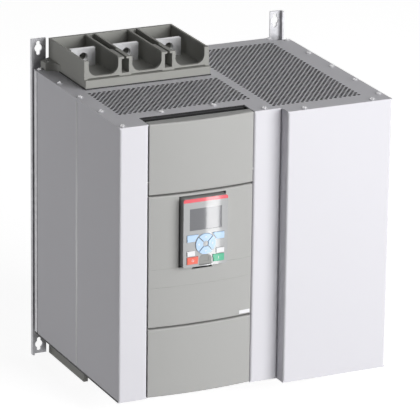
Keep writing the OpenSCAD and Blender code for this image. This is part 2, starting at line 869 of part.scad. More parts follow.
// Screws of a cover: two side rows, the front edges and the rear edge
function cover_screws() = concat(
  [for (x = [xl + screw_edge, xr - screw_edge], y = screw_rows()) [x, y]],
  [for (x = notch_screws) [x, front + screw_notch]],
  [[strip_screw, front + screw_edge]],
  [for (x = module_screws) [x, module_front + screw_edge]],
  [rear_screw]);

module pan_screw() {
  rotate_extrude() difference() {
    union() {
      square([screw_d / 2, screw_head_h]);
      translate([0, -screw_len]) square([screw_d / 2, screw_len]);
      intersection() {
        translate([0, screw_head_h - dome_r()]) circle(r = dome_r());
        square([screw_head_d / 2, screw_head_h]);
      }
    }
    translate([-screw_head_d, -screw_len - cut]) square([screw_head_d, screw_len + screw_head_h + 2 * cut]);
  }
}

// Radius of a screw head's dome, which leaves a low rim
function dome_r() = (screw_head_d * screw_head_d / 4 + dome_h * dome_h) / (2 * dome_h);

module top_screws() color("white") {
  for (p = cover_screws()) translate([p[0], p[1], top]) pan_screw();
}

module bottom_screws() color("white") {
  upside_down() top_screws();
}

// Moulded front

// Crowned slab between two levels, with rounded front edges
module crowned(z0, z1, inset, back, edge) {
  r = bow_r - inset;
  intersection() {
    translate([bay_mid, bow_centre_y, 0]) rotate([0, 0, -90 - bow_half_angle])
      rotate_extrude(angle = 2 * bow_half_angle, $fn = 200) difference() {
        translate([r - crown_depth, z0]) square([crown_depth, z1 - z0]);
        for (z = [z0, z1]) edge_corner(r, z, z == z0 ? 1 : -1, edge);
      }
    block([bay_mid - cover_w / 2 + inset, front - 2 * cover_bow, z0 - cut],
      [bay_mid + cover_w / 2 - inset, back, z1 + cut]);
  }
}

// Corner left over outside a rounded edge
module edge_corner(r, z, side, edge) {
  difference() {
    translate([r - edge, z - (side < 0 ? edge : 0)]) square([edge + cut, edge]);
    translate([r - edge, z + side * edge]) circle(r = edge);
  }
}

// Crowned shell, open towards the wall
module cover_shell(z0, z1, back) {
  difference() {
    crowned(z0, z1, 0, back, cover_edge);
    crowned(z0 + cover_wall, z1 - cover_wall, cover_wall, back + cut, inner_edge);
  }
}

module upper_front_cover() color("darkgray") {
  back = carrier_front - moving_gap;
  cover_shell(upper_z0, upper_z1, back);
  for (side = [-1, 1]) {
    x = bay_mid + side * cover_w / 2;
    reach = cover_gap + sheet_t;
    bore_x(peg_d, min(x, x + side * reach), max(x, x + side * reach), peg_y, peg_z);
    block([x - (side > 0 ? cover_wall + boss_t : 0), peg_y - boss_front, peg_z - boss_h / 2],
      [x + (side > 0 ? 0 : cover_wall + boss_t), back, peg_z + boss_h / 2]);
  }
}

// Groove line cut along the crown at one level
module crown_groove(z) {
  translate([bay_mid, bow_centre_y, 0]) rotate([0, 0, -90 - bow_half_angle])
    rotate_extrude(angle = 2 * bow_half_angle, $fn = 200)
      translate([bow_r - groove_d, z - groove_w / 2]) square([groove_d + cut, groove_w]);
}

module middle_front_cover() color("darkgray") {
  recess_d = pad_rear + pad_seat;
  x0 = pad_mid - pad_w / 2 - pad_clear;
  x1 = pad_mid + pad_w / 2 + pad_clear;
  z0 = pad_mid_z - pad_h / 2 - pad_clear;
  z1 = pad_mid_z + pad_h / 2 + pad_clear;
  difference() {
    union() {
      cover_shell(middle_z0, middle_z1, carrier_front);
      intersection() {
        crowned(middle_z0, middle_z1, 0, carrier_front, cover_edge);
        block([x0 - cover_wall, front - seat_depth, z0 - cover_wall],
          [x1 + cover_wall, recess_d + cover_wall, z1 + cover_wall]);
      }
    }
    block([x0, front - seat_depth, z0], [x1, recess_d, z1]);
    block([pad_mid - finger_w / 2, front - seat_depth, z0 - finger_h],
      [pad_mid + finger_w / 2, recess_d - finger_back, pad_mid_z]);
    block([pad_mid - plug_w / 2 - plug_clear, recess_d - cut, pad_mid_z - plug_h / 2 - plug_clear],
      [pad_mid + plug_w / 2 + plug_clear, recess_d + cover_wall + cut, pad_mid_z + plug_h / 2 + plug_clear]);
    for (drop = [groove_upper, groove_lower]) crown_groove(middle_z1 - drop);
  }
}

module lower_front_cover() color("darkgray") cover_shell(lower_z0, lower_z1, carrier_front);

module front_carrier() color([0.12, 0.12, 0.13]) {
  x0 = bay_x0 - carrier_t;
  x1 = bay_x1 + carrier_t;
  carrier_z1 = top - sheet_t;
  difference() {
    union() {
      block([x0, carrier_front, panel_z], [x1, carrier_front + carrier_t, carrier_top]);
      block([x0, carrier_front, carrier_top - carrier_t], [x1, pocket_floor + carrier_t, carrier_top]);
      block([x0, pocket_floor, carrier_top - cut], [x1, pocket_floor + carrier_t, carrier_z1]);
      for (x = [x0, bay_x1])
        block([x, carrier_front, carrier_top - cut], [x + carrier_t, pocket_floor + cut, carrier_z1]);
      block([x0, pocket_floor, carrier_z1 - carrier_t], [x1, front + shelf_d, carrier_z1]);
      block([x0, carrier_front, panel_z], [x1, front + shelf_d, panel_z + carrier_t]);
    }
    along_y(carrier_front - cut, carrier_t + 2 * cut) translate([pad_mid, pad_mid_z])
      square([plug_w + 2 * plug_room, plug_h + 2 * plug_room], center = true);
    for (i = [0 : wire_holes - 1])
      bore_y(wire_hole_d, bay_mid + (i - (wire_holes - 1) / 2) * wire_hole_pitch, pocket_floor - cut,
        pocket_floor + carrier_t + cut, carrier_top + wire_hole_rise);
    for (x = notch_screws) screw_hole(x, front + screw_notch);
  }
}

// Terminal shrouds, drawn above the body with their base on the top cover

module shroud() {
  x0 = phase_mid - shroud_w / 2;
  x1 = phase_mid + shroud_w / 2;
  y0 = -shroud_front;
  y1 = -shroud_rear;
  slot_y1 = y1 - bay_wall;
  pocket_rear = y0 + pocket_len;
  difference() {
    union() {
      block([x0, y0, top], [x1, y1, top + shroud_h]);
      block([x0, y0 - rail_proud, top], [x1, y1, top + rail_h]);
      for (side = [-1, 1]) shroud_ear(side);
    }
    for (i = [0 : 2]) {
      x = phases[i];
      half = bay_clear_w / 2 + lip_side;
      bay_cut(x, y0 - cut, y0 + lip_t + cut);
      block([i == 0 ? x0 + shell_t : x - half, y0 + lip_t, top + bay_floor_h],
        [i == 2 ? x1 - shell_t : x + half, y1 - bay_wall, top + shroud_h + cut]);
      block([x - bar_w / 2 - bar_clear, bar_y - bar_clear, top - cut],
        [x + bar_w / 2 + bar_clear, bar_y + bar_t + bar_clear, top + shroud_h]);
      block([x - bay_clear_w / 2 - slit_h, y0 - cut, top + rail_h],
        [x + bay_clear_w / 2 + slit_h, y0 + slit_d, top + rail_h + slit_h]);
    }
    for (s = [-0.5, 0.5]) {
      x = phase_mid + s * phase_pitch;
      block([x - slot_w / 2, pocket_rear + pocket_wall, top + floor_h],
        [x + slot_w / 2, slot_y1, top + shroud_h + cut]);
      block([x - slot_w / 2, y0 - cut, top + floor_h],
        [x + slot_w / 2, pocket_rear, top + shroud_h - pocket_wall]);
      block([x - slot_w / 6, y0 - cut, top + shroud_h / 2],
        [x + slot_w / 6, pocket_rear + pocket_wall + cut, top + shroud_h + cut]);
    }
    for (side = [-1, 1]) translate([ear_x(side), ear_y(), top]) {
      translate([0, 0, -cut]) cylinder(d = screw_hole_d, h = shroud_h);
      translate([0, 0, ear_h - ear_sink]) cylinder(d = screw_head_d + 4 * screw_clear, h = shroud_h);
    }
    block([x0 + hollow_wall, y0 + 2 * hollow_wall, top - cut],
      [x1 - hollow_wall, bar_y - bar_clear - 3 * hollow_wall, top + bay_floor_h - hollow_roof]);
  }
}

function ear_x(side) = phase_mid + side * (shroud_w / 2 + ear_hole);
function ear_y() = -shroud_rear - ear_back;

// Fixing ear, rooted in the shroud's side wall and hollowed by a round at its front
module shroud_ear(side) {
  x = phase_mid + side * shroud_w / 2;
  root = x - side * bay_wall;
  tip = x + side * ear_reach;
  tip_front = ear_y() - ear_hole;
  translate([0, 0, top]) linear_extrude(ear_h) difference() {
    polygon([[root, -shroud_rear], [x, -shroud_rear], [tip, ear_y() + ear_hole], [tip, tip_front],
      [x, tip_front - ear_reach], [root, tip_front - ear_reach]]);
    translate([tip, tip_front - ear_reach]) circle(r = ear_reach - inner_edge);
  }
}

// Opening in the lip of one terminal bay, round in its lower corners and open upwards
module bay_cut(x, y0, y1) {
  along_y(y0, y1 - y0) {
    w = bay_clear_w;
    z0 = top + floor_h;
    translate([x - w / 2 + bay_r, z0]) square([w - 2 * bay_r, bay_r]);
    for (s = [-1, 1]) translate([x + s * (w / 2 - bay_r), z0 + bay_r]) circle(r = bay_r);
    translate([x - w / 2, z0 + bay_r]) square([w, shroud_h]);
  }
}

module line_shroud() color([0.52, 0.52, 0.48]) shroud();

module load_shroud() color([0.52, 0.52, 0.48]) upside_down() shroud();

module shroud_screws() color("white") {
  for (side = [-1, 1]) {
    translate([ear_x(side), ear_y(), top + ear_h - ear_sink]) pan_screw();
    upside_down() translate([ear_x(side), ear_y(), top + ear_h - ear_sink]) pan_screw();
  }
}

// Power path of one phase

// Terminal bar brazed of three flats: the upright end with its hole, a run to the front and a drop that laps
// over the thyristor module
module line_bar(i) {
  end_z = top + bar_out;
  run_low = top - run_z - bar_t / 2;
  drop_low = mid_z + thyristor_h / 2 - bar_lap;
  difference() {
    translate([phases[i] - bar_w / 2, 0, 0]) rotate([90, 0, 90]) linear_extrude(bar_w) {
      translate([bar_y, run_low]) square([bar_t, end_z - run_low]);
      translate([stack_front - bar_t, run_low]) square([bar_y - stack_front + bar_t - bar_seam, bar_t]);
      translate([stack_front - bar_t, drop_low]) square([bar_t, run_low - drop_low - bar_seam]);
    }
    bore_y(bar_hole_d, phases[i], bar_y - cut, bar_y + bar_t + cut, end_z - bar_hole_end);
  }
}

module load_bar(i) {
  upside_down() line_bar(i);
}

module line_bar_1() color("gainsboro") line_bar(0);
module line_bar_2() color("gainsboro") line_bar(1);
module line_bar_3() color("gainsboro") line_bar(2);
module load_bar_1() color("gainsboro") load_bar(0);
module load_bar_2() color("gainsboro") load_bar(1);
module load_bar_3() color("gainsboro") load_bar(2);

module heatsink(i) {
  fin_step = (sink_w - fin_t) / (fin_n - 1);
  x0 = phases[i] - sink_w / 2;
  translate([0, 0, mid_z - sink_h / 2]) linear_extrude(sink_h) {
    translate([x0, -sink_front]) square([sink_w, sink_base]);
    for (k = [0 : fin_n - 1])
      translate([x0 + k * fin_step, -sink_front + sink_base])
        square([fin_t, sink_front - sink_base + frame_wall]);
  }
}

module heatsink_1() color("lightgray") heatsink(0);
module heatsink_2() color("lightgray") heatsink(1);
module heatsink_3() color("lightgray") heatsink(2);

module thyristor_module(i) {
  x0 = phases[i] - sink_w / 2 + module_edge;
  x1 = phases[i] + sink_w / 2 - module_edge;
  half = thyristor_h / 2;
  foot_y = -sink_front - foot_t;
  difference() {
    block([x0, stack_front, mid_z - half], [x1, -sink_front, mid_z + half]);
    block([x0 - cut, stack_front - cut, mid_z - waist_h / 2],
      [x1 + cut, stack_front + waist_d, mid_z + waist_h / 2]);
    for (z = [mid_z - half, mid_z + half])
      block([x0 - cut, foot_y - clamp_t, z - clamp_h], [x1 + cut, foot_y, z + clamp_h]);
  }
}

module thyristor_module_1() color("dimgray") thyristor_module(0);
module thyristor_module_2() color("dimgray") thyristor_module(1);
module thyristor_module_3() color("dimgray") thyristor_module(2);

module current_transformer(i) {
  along_y(stack_front + ct_back - ct_len / 2, ct_len) translate([phases[i], bot + run_z]) difference() {
    rounded_rect(ct_w, ct_h, ct_r);
    square([bar_w + 2 * bar_clear, bar_t + 2 * bar_clear], center = true);
  }
}

module current_transformer_1() color([0.15, 0.15, 0.17]) current_transformer(0);
module current_transformer_2() color([0.15, 0.15, 0.17]) current_transformer(1);
module current_transformer_3() color([0.15, 0.15, 0.17]) current_transformer(2);

// Bypass module

module contactor_bracket() color("silver") {
  x = contactor_w / 2 + bracket_gap + sheet_t / 2;
  translate([contactor_mid, 0, 0])
    upright_sheet([[-x, frame_wall], [-x, contactor_rear + sheet_t / 2], [x, contactor_rear + sheet_t / 2],
      [x, frame_wall]], mid_z - contactor_h / 2 - bracket_past, contactor_h + 2 * bracket_past);
}

function pole_x(k) = contactor_mid + (k - 1) * pole_pitch;

module bypass_contactor() color([0.2, 0.2, 0.21]) {
  half_w = contactor_w / 2;
  half_h = contactor_h / 2;
  y0 = contactor_rear - contactor_d;
  block([contactor_mid - half_w, y0 + chamber_d, mid_z - half_h],
    [contactor_mid + half_w, contactor_rear, mid_z + half_h]);
  block([contactor_mid - half_w + chamber_side, y0, mid_z - half_h + chamber_end],
    [contactor_mid + half_w - chamber_side, y0 + chamber_d + cut, mid_z + half_h - chamber_end]);
  for (k = [0 : 2])
    block([pole_x(k) - tongue_w / 2, link_y, mid_z - half_h - tongue_len],
      [pole_x(k) + tongue_w / 2, link_y + link_t, mid_z + half_h + tongue_len]);
}

module link(i) {
  z = mid_z + contactor_h / 2 + link_rise + link_h / 2 + (2 - i) * link_step;
  pole = pole_x(2 - i);
  x0 = phases[i] - bar_w / 2 + link_end;
  y = link_y - link_t;
  block([x0, y, z - link_h / 2], [pole + tongue_w / 2, link_y, z + link_h / 2]);
  block([pole - tongue_w / 2, y, mid_z + contactor_h / 2 + link_end], [pole + tongue_w / 2, link_y, z]);
  bore_y(link_h, phases[i], link_y - cut, link_y + link_gap, z);
}

module line_links() color("peru") {
  for (i = [0 : 2]) link(i);
}

module load_links() color("peru") {
  upside_down() line_links();
}

// Fans on the bottom cover

function fan_x(k) = xl + return_d + fan_gap + fan_w / 2 + k * (fan_w + fan_gap);

module fan_frame(k) {
  hole_at = fan_w / 2 - fan_hole_edge;
  translate([fan_x(k), -fan_back, panel_z]) {
    difference() {
      linear_extrude(fan_h) rounded_rect(fan_w, fan_w, fan_r);
      translate([0, 0, -cut]) cylinder(d = fan_w - 2 * fan_wall, h = fan_h + 2 * cut, $fn = 96);
      for (sx = [-1, 1], sy = [-1, 1]) translate([sx * hole_at, sy * hole_at, -cut])
        cylinder(d = screw_hole_d, h = fan_h + 2 * cut);
    }
    cylinder(d = hub_d, h = motor_plate_t);
    for (a = [45 : 90 : 315]) rotate([0, 0, a])
      translate([hub_d / 2 - fan_wall, -strut_w / 2, 0])
        cube([fan_w / 2 - hub_d / 2 + fan_wall, strut_w, motor_plate_t]);
    cylinder(d = shaft_d, h = rotor_z - panel_z + rotor_h - hub_roof - rotor_gap);
  }
}

module fan_rotor(k) {
  tip_r = fan_w / 2 - fan_wall - tip_gap;
  translate([fan_x(k), -fan_back, rotor_z]) difference() {
    union() {
      cylinder(d = hub_d, h = rotor_h);
      intersection() {
        for (b = [0 : blade_n - 1]) rotate([0, 0, b * 360 / blade_n])
          translate([hub_d / 2 - hub_roof, 0, rotor_h / 2]) rotate([blade_angle, 0, 0])
            translate([0, -blade_chord / 2, -blade_t / 2]) cube([tip_r, blade_chord, blade_t]);
        cylinder(r = tip_r, h = rotor_h, $fn = 96);
      }
    }
    translate([0, 0, -cut]) cylinder(d = shaft_d + 2 * shaft_clear, h = rotor_h - hub_roof + cut);
  }
}

module fan_frame_1() color([0.13, 0.13, 0.14]) fan_frame(0);
module fan_frame_2() color([0.13, 0.13, 0.14]) fan_frame(1);
module fan_rotor_1() color([0.18, 0.18, 0.19]) fan_rotor(0);
module fan_rotor_2() color([0.18, 0.18, 0.19]) fan_rotor(1);

// Control electronics

module control_board() color("seagreen") {
  y0 = carrier_front + carrier_t + board_gap;
  z0 = lower_z1 - board_reach;
  z1 = carrier_top - board_drop;
  cap_step = (bay_w - 2 * board_side) / cap_n;
  cooler_z = (z0 + z1) / 2;
  cooler_x = bay_mid - cooler_w / 2;
  cooler_front = y0 + board_t + cooler_d;
  block([bay_x0 + board_side, y0, z0], [bay_x1 - board_side, y0 + board_t, z1]);
  for (x = [bay_x0 + board_side + post_d, bay_x1 - board_side - post_d], z = [z0 + post_d, z1 - post_d])
    bore_y(post_d, x, carrier_front + carrier_t, y0 + board_t / 2, z);
  for (k = [0 : cap_n - 1])
    bore_y(cap_d, bay_x0 + board_side + (k + 0.5) * cap_step, y0 + board_t / 2, y0 + board_t + cap_len,
      z0 + 2 * cap_d);
  difference() {
    block([cooler_x, y0 + board_t / 2, cooler_z], [cooler_x + cooler_w, cooler_front, cooler_z + cooler_w]);
    for (k = [1 : cooler_slots])
      block([cooler_x + (2 * k - 1) * cooler_step, y0 + board_t + cooler_step, cooler_z - cut],
        [cooler_x + 2 * k * cooler_step, cooler_front + cut, cooler_z + cooler_w + cut]);
  }
}

// Rows of clamp terminals, a screw hole over a wire hole for each pole
module control_terminals() color("darkgreen") {
  block_w = pole_n * pole_step;
  row_w = block_n * block_w + (block_n - 1) * block_gap;
  y0 = pocket_floor - block_d;
  z0 = top - block_drop - block_h;
  for (k = [0 : block_n - 1]) {
    x0 = bay_mid - row_w / 2 + k * (block_w + block_gap);
    difference() {
      block([x0, y0, z0], [x0 + block_w, pocket_floor, z0 + block_h]);
      for (n = [0 : pole_n - 1]) {
        x = x0 + (n + 0.5) * pole_step;
        bore_y(pole_hole_d, x, y0 - cut, y0 + block_d / 2, z0 + block_h * 0.7);
        block([x - pole_hole_d / 2, y0 - cut, z0 + block_h * 0.15],
          [x + pole_hole_d / 2, y0 + block_d * 0.6, z0 + block_h * 0.45]);
      }
    }
  }
}

// Keypad, drawn from the middle of its top edge: x to the right, z down as negative values

module pad_place() {
  translate([pad_mid, 0, pad_top]) children();
}

module pad_outline(w, h) {
  translate([0, -pad_h / 2]) rounded_rect(w, h, pad_r);
}

module keypad_housing() color([0.2, 0.2, 0.21]) pad_place() difference() {
  along_y(fascia_back, pad_rear - fascia_back) pad_outline(pad_w, pad_h);
  along_y(fascia_back - cut, pad_d - fascia_t - pad_wall + cut)
    pad_outline(pad_w - 2 * pad_wall, pad_h - 2 * pad_wall);
}

module keypad_fascia() color("silver") pad_place() difference() {
  along_y(pad_front, fascia_t) difference() {
    pad_outline(pad_w, pad_h);
    translate([0, screen_z]) square([screen_w, screen_h], center = true);
    for (side = [-1, 1]) {
      soft_outline(side, key_clear);
      small_outline(side, key_clear);
      run_outline(side, key_clear);
    }
    for (turn = [0 : 90 : 270]) ring_quarter(turn, key_clear);
    flap_outline(key_clear);
  }
  along_y(pad_front - cut, band_t + cut) translate([-pad_w / 2, -band_h]) square([pad_w, band_h + cut]);
  bore_x(flap_pin_d + 2 * flap_clear, -flap_w / 2 - flap_pin_len - flap_end_clear,
    flap_w / 2 + flap_pin_len + flap_end_clear, flap_y, flap_pin_z);
}

module keypad_band() color("crimson") pad_place() along_y(pad_front, band_t) intersection() {
  pad_outline(pad_w, pad_h);
  translate([-pad_w / 2, -band_h]) square([pad_w, band_h + cut]);
}

module keypad_window() color([0.35, 0.36, 0.4]) pad_place()
  along_y(pad_front + screen_back, board_y - pad_front - screen_back) translate([0, screen_z])
    square([screen_w - 2 * screen_clear, screen_h - 2 * screen_clear], center = true);

module keypad_board() color("seagreen") pad_place() {
  inset = 2 * (pad_wall + board_clear);
  along_y(board_y, board_t) pad_outline(pad_w - inset, pad_h - inset);
  along_y(board_y + board_t / 2, pad_rear - pad_wall - board_y - board_t / 2) translate([0, -pad_h / 2])
    square([plug_w, plug_h], center = true);
}

// Outline of one key beside the ring, cut back round the ring and round the flap, grown on all sides
module key_outline(side, w, h, drop, grow) {
  mid_x = side * (pad_w / 2 - side_key_in - w / 2);
  difference() {
    translate([mid_x, -drop - h / 2]) square([w + 2 * grow, h + 2 * grow], center = true);
    translate([0, ring_z]) circle(r = ring_r + ring_side_gap - grow);
    translate([0, flap_z0 + flap_h - flap_w / 2]) circle(r = flap_w / 2 + flap_side_gap - grow);
  }
}

module soft_outline(side, grow) key_outline(side, side_key_w, soft_key_h, soft_key_drop, grow);
module small_outline(side, grow) key_outline(side, small_key_w, small_key_h, small_key_drop, grow);
module run_outline(side, grow) key_outline(side, side_key_w, run_key_h, run_key_drop, grow);

// Key pushed through the front plate, its face standing out of it
module key_body() {
  pad_place() along_y(pad_front - key_proud, key_back - pad_front + key_proud) children();
}

// One quarter of the arrow ring, turned from the upper one and grown on all sides
module ring_quarter(turn, grow) {
  tip = (ring_gap / 2 - grow) * sqrt(2);
  reach = ring_r * 2;
  translate([0, ring_z]) rotate([0, 0, turn]) intersection() {
    difference() {
      circle(r = ring_r + grow);
      circle(r = ring_in_r - grow);
    }
    polygon([[0, tip], [reach, reach + tip], [-reach, reach + tip]]);
  }
}

module softkey_left() color("lightskyblue") key_body() soft_outline(-1, 0);
module softkey_right() color("lightskyblue") key_body() soft_outline(1, 0);
module info_key() color("white") key_body() small_outline(-1, 0);
module remote_key() color("white") key_body() small_outline(1, 0);
module stop_key() color("tomato") key_body() run_outline(-1, 0);
module start_key() color("mediumseagreen") key_body() run_outline(1, 0);
module key_up() color("lightskyblue") key_body() ring_quarter(0, 0);
module key_left() color("lightskyblue") key_body() ring_quarter(90, 0);
module key_down() color("lightskyblue") key_body() ring_quarter(180, 0);
module key_right() color("lightskyblue") key_body() ring_quarter(270, 0);

// Flap outline, straight below and arched above
module flap_outline(grow) {
  r = flap_r + grow;
  w = flap_w + 2 * grow;
  z1 = flap_z0 + flap_h + grow;
  translate([-w / 2, flap_z0 - grow]) square([w, z1 - r - flap_z0 + grow]);
  translate([-w / 2 + r, z1 - r - cut]) square([w - 2 * r, r + cut]);
  for (s = [-1, 1]) translate([s * (w / 2 - r), z1 - r]) circle(r = r);
}

module usb_flap() color("gray") pad_place() {
  difference() {
    union() {
      intersection() {
        along_y(pad_front, flap_t) flap_outline(0);
        block([-flap_w, pad_front - cut, flap_pin_z], [flap_w, pad_front + flap_t + cut, 0]);
      }
      bore_x(flap_t, -flap_w / 2, flap_w / 2, flap_y, flap_pin_z);
    }
    along_y(pad_front - cut, flap_field_d + cut) translate([0, flap_z0 + flap_field_rise])
      square([flap_field_w, flap_field_h], center = true);
  }
  bore_x(flap_pin_d, -flap_w / 2 - flap_pin_len, flap_w / 2 + flap_pin_len, flap_y, flap_pin_z);
}

back_plate();
spacer_rails();
rear_frame();
left_side_panel();
front_strip();
module_cover();
top_cover();
bottom_cover();
top_screws();
bottom_screws();
front_carrier();
upper_front_cover();
middle_front_cover();
lower_front_cover();
line_shroud();
load_shroud();
shroud_screws();
line_bar_1();
line_bar_2();
line_bar_3();
load_bar_1();
load_bar_2();
load_bar_3();
heatsink_1();
heatsink_2();
heatsink_3();
thyristor_module_1();
thyristor_module_2();
thyristor_module_3();
current_transformer_1();
current_transformer_2();
current_transformer_3();
contactor_bracket();
bypass_contactor();
line_links();
load_links();
fan_frame_1();
fan_frame_2();
fan_rotor_1();
fan_rotor_2();
control_board();
control_terminals();
keypad_housing();
keypad_fascia();
keypad_band();
keypad_window();
keypad_board();
softkey_left();
softkey_right();
key_up();
key_down();
key_left();
key_right();
info_key();
remote_key();
stop_key();
start_key();
usb_flap();
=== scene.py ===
import json
import math
import bpy
import numpy as np
from mathutils import Matrix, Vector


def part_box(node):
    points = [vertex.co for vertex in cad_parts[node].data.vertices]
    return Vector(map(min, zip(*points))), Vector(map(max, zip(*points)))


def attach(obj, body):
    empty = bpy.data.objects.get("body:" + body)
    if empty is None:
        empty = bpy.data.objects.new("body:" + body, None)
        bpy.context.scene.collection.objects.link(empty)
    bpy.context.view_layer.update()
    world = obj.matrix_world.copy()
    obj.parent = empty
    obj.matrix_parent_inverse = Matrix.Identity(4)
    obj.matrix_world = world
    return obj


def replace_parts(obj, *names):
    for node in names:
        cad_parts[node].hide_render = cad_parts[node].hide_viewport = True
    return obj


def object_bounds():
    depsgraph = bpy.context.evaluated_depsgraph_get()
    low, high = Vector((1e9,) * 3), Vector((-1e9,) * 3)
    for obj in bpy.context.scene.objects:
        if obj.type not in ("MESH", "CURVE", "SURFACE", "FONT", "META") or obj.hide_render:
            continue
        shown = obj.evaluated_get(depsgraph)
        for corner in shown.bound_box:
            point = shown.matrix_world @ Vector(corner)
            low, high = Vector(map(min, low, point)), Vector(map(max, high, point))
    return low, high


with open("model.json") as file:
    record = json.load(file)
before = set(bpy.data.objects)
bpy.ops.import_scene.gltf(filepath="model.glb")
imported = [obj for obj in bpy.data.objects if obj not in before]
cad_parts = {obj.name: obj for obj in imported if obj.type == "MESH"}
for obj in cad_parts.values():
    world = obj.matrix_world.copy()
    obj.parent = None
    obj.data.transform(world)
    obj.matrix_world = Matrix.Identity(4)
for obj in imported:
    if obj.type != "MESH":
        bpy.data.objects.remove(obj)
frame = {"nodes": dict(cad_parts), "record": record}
cadBox = [list(corner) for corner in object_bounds()]
nodes = frame["nodes"]
scene = bpy.context.scene
mm = 0.001
print("frame loaded:", len(nodes), "nodes")


def placeMatrix(right, up, back, place):
    matrix = np.eye(4)
    matrix[:3] = np.column_stack([right, up, back, place])
    return Matrix(matrix.tolist())


def addNode(tree, kind, **settings):
    node = tree.nodes.new(kind)
    for key, value in settings.items():
        setattr(node, key, value)
    return node


# Camera: looks along a heading, tilted down and rolled a little, from a long way off

cameraSetup = {
    "place": (-2.2566, -4.9681, 1.8110),
    "heading": 25.326,  # degrees to the right of +Y
    "tilt": 18.799,
    "roll": 0.784,
    "lens": 312.72,
    "sensor": 36.0,
    "reach": 60.0,
}


def makeCamera(setup):
    # level and above are the view's axes before the roll turns them about the line of sight
    heading, tilt, roll = (math.radians(setup[k]) for k in ("heading", "tilt", "roll"))
    look = np.array([math.sin(heading) * math.cos(tilt), math.cos(heading) * math.cos(tilt), -math.sin(tilt)])
    level = np.array([math.cos(heading), -math.sin(heading), 0.0])
    above = np.cross(level, look)
    right = math.cos(roll) * level + math.sin(roll) * above
    up = -math.sin(roll) * level + math.cos(roll) * above
    lens = bpy.data.cameras.new("productCamera")
    lens.lens = setup["lens"]
    lens.sensor_width = setup["sensor"]
    lens.clip_end = setup["reach"]
    camera = bpy.data.objects.new("productCamera", lens)
    camera.matrix_world = placeMatrix(right, up, -look, setup["place"])
    scene.collection.objects.link(camera)
    scene.camera = camera


makeCamera(cameraSetup)
print("camera placed")


# Studio: a broad lamp at the front right, a fill ahead, one at the left and one above, a pale floor, a white surround

studio = {
    "ambient": 0.03,
    "keyLamp": {"place": (2.6, -4.0, 1.25), "aim": (0.0, -0.35, 0.0), "size": (2.8, 2.8), "power": 186.0},
    "fillLamp": {"place": (0.5, -3.3, 1.0), "aim": (0.0, -0.35, 0.0), "size": (0.8, 2.0), "power": 39.0},
    "leftLamp": {"place": (-3.2, 0.95, 0.15), "aim": (0.0, -0.15, 0.0), "size": (2.4, 0.8), "power": 27.0},
    "topLamp": {"place": (1.6, -0.5, 2.6), "aim": (0.0, -0.2, 0.2), "size": (1.6, 1.6), "power": 4.6},
    "floorTone": 0.42,
    "floorGlow": 0.90,
    "floorHalf": 14.0,
    "floorGap": 0.001,
}


def makeLamp(name, spec):
    # the lamp's back points away from its aim, and two of its sides stay level
    lamp = bpy.data.lights.new(name, "AREA")
    lamp.shape = "RECTANGLE"
    lamp.size, lamp.size_y = spec["size"]
    lamp.energy = spec["power"]
    holder = bpy.data.objects.new(name, lamp)
    back = np.array(spec["place"]) - np.array(spec["aim"])
    back = back / np.linalg.norm(back)
    side = np.cross([0.0, 0.0, 1.0], back)
    side = side / np.linalg.norm(side)
    holder.matrix_world = placeMatrix(side, np.cross(back, side), back, spec["place"])
    holder.visible_camera = False
    scene.collection.objects.link(holder)
    return holder


def seenDirectly(tree):
    # 1 for rays from the camera, off glossy surfaces and through clear ones, else 0
    path = addNode(tree, "ShaderNodeLightPath")
    seen = path.outputs["Is Camera Ray"]
    for kind in ("Is Glossy Ray", "Is Transmission Ray"):
        larger = addNode(tree, "ShaderNodeMath", operation="MAXIMUM")
        tree.links.new(seen, larger.inputs[0])
        tree.links.new(path.outputs[kind], larger.inputs[1])
        seen = larger.outputs[0]
    return seen


def makeSurround(spec):
    world = bpy.data.worlds.new("whiteSurround")
    scene.world = world
    world.use_nodes = True
    tree = world.node_tree
    background = tree.nodes["Background"]
    background.inputs["Color"].default_value = (1.0, 1.0, 1.0, 1.0)
    strength = addNode(tree, "ShaderNodeMapRange")
    strength.inputs["To Min"].default_value = spec["ambient"]
    strength.inputs["To Max"].default_value = 1.0
    tree.links.new(seenDirectly(tree), strength.inputs["Value"])
    tree.links.new(strength.outputs["Result"], background.inputs["Strength"])


def makeFloor(spec):
    half, level = spec["floorHalf"], cadBox[0][2] - spec["floorGap"]
    mesh = bpy.data.meshes.new("paleFloor")
    corners = np.array([[-1, -1], [1, -1], [1, 1], [-1, 1]]) * half
    mesh.from_pydata(np.column_stack([corners, np.full(4, level)]).tolist(), [], [[0, 1, 2, 3]])
    floor = bpy.data.objects.new("paleFloor", mesh)
    scene.collection.objects.link(floor)
    material = bpy.data.materials.new("paleFloor")
    material.use_nodes = True
    tree = material.node_tree
    tree.nodes.remove(tree.nodes["Principled BSDF"])
    matt = addNode(tree, "ShaderNodeBsdfDiffuse")
    matt.inputs["Color"].default_value = (spec["floorTone"],) * 3 + (1.0,)
    glow = addNode(tree, "ShaderNodeEmission")
    gain = addNode(tree, "ShaderNodeMath", operation="MULTIPLY")
    gain.inputs[1].default_value = spec["floorGlow"]
    tree.links.new(seenDirectly(tree), gain.inputs[0])
    tree.links.new(gain.outputs[0], glow.inputs["Strength"])
    both = addNode(tree, "ShaderNodeAddShader")
    tree.links.new(matt.outputs[0], both.inputs[0])
    tree.links.new(glow.outputs[0], both.inputs[1])
    tree.links.new(both.outputs[0], tree.nodes["Material Output"].inputs["Surface"])
    mesh.materials.append(material)


# Strip that the keypad's glossy front mirrors towards the camera: it stands where a point of the front, seen
# from the camera, throws the line of sight back, and it gives no diffuse light

padStrip = {"mirrors": (-0.0735, -0.3665, 0.045), "distance": 0.55, "size": (0.021, 0.20), "power": 0.122}


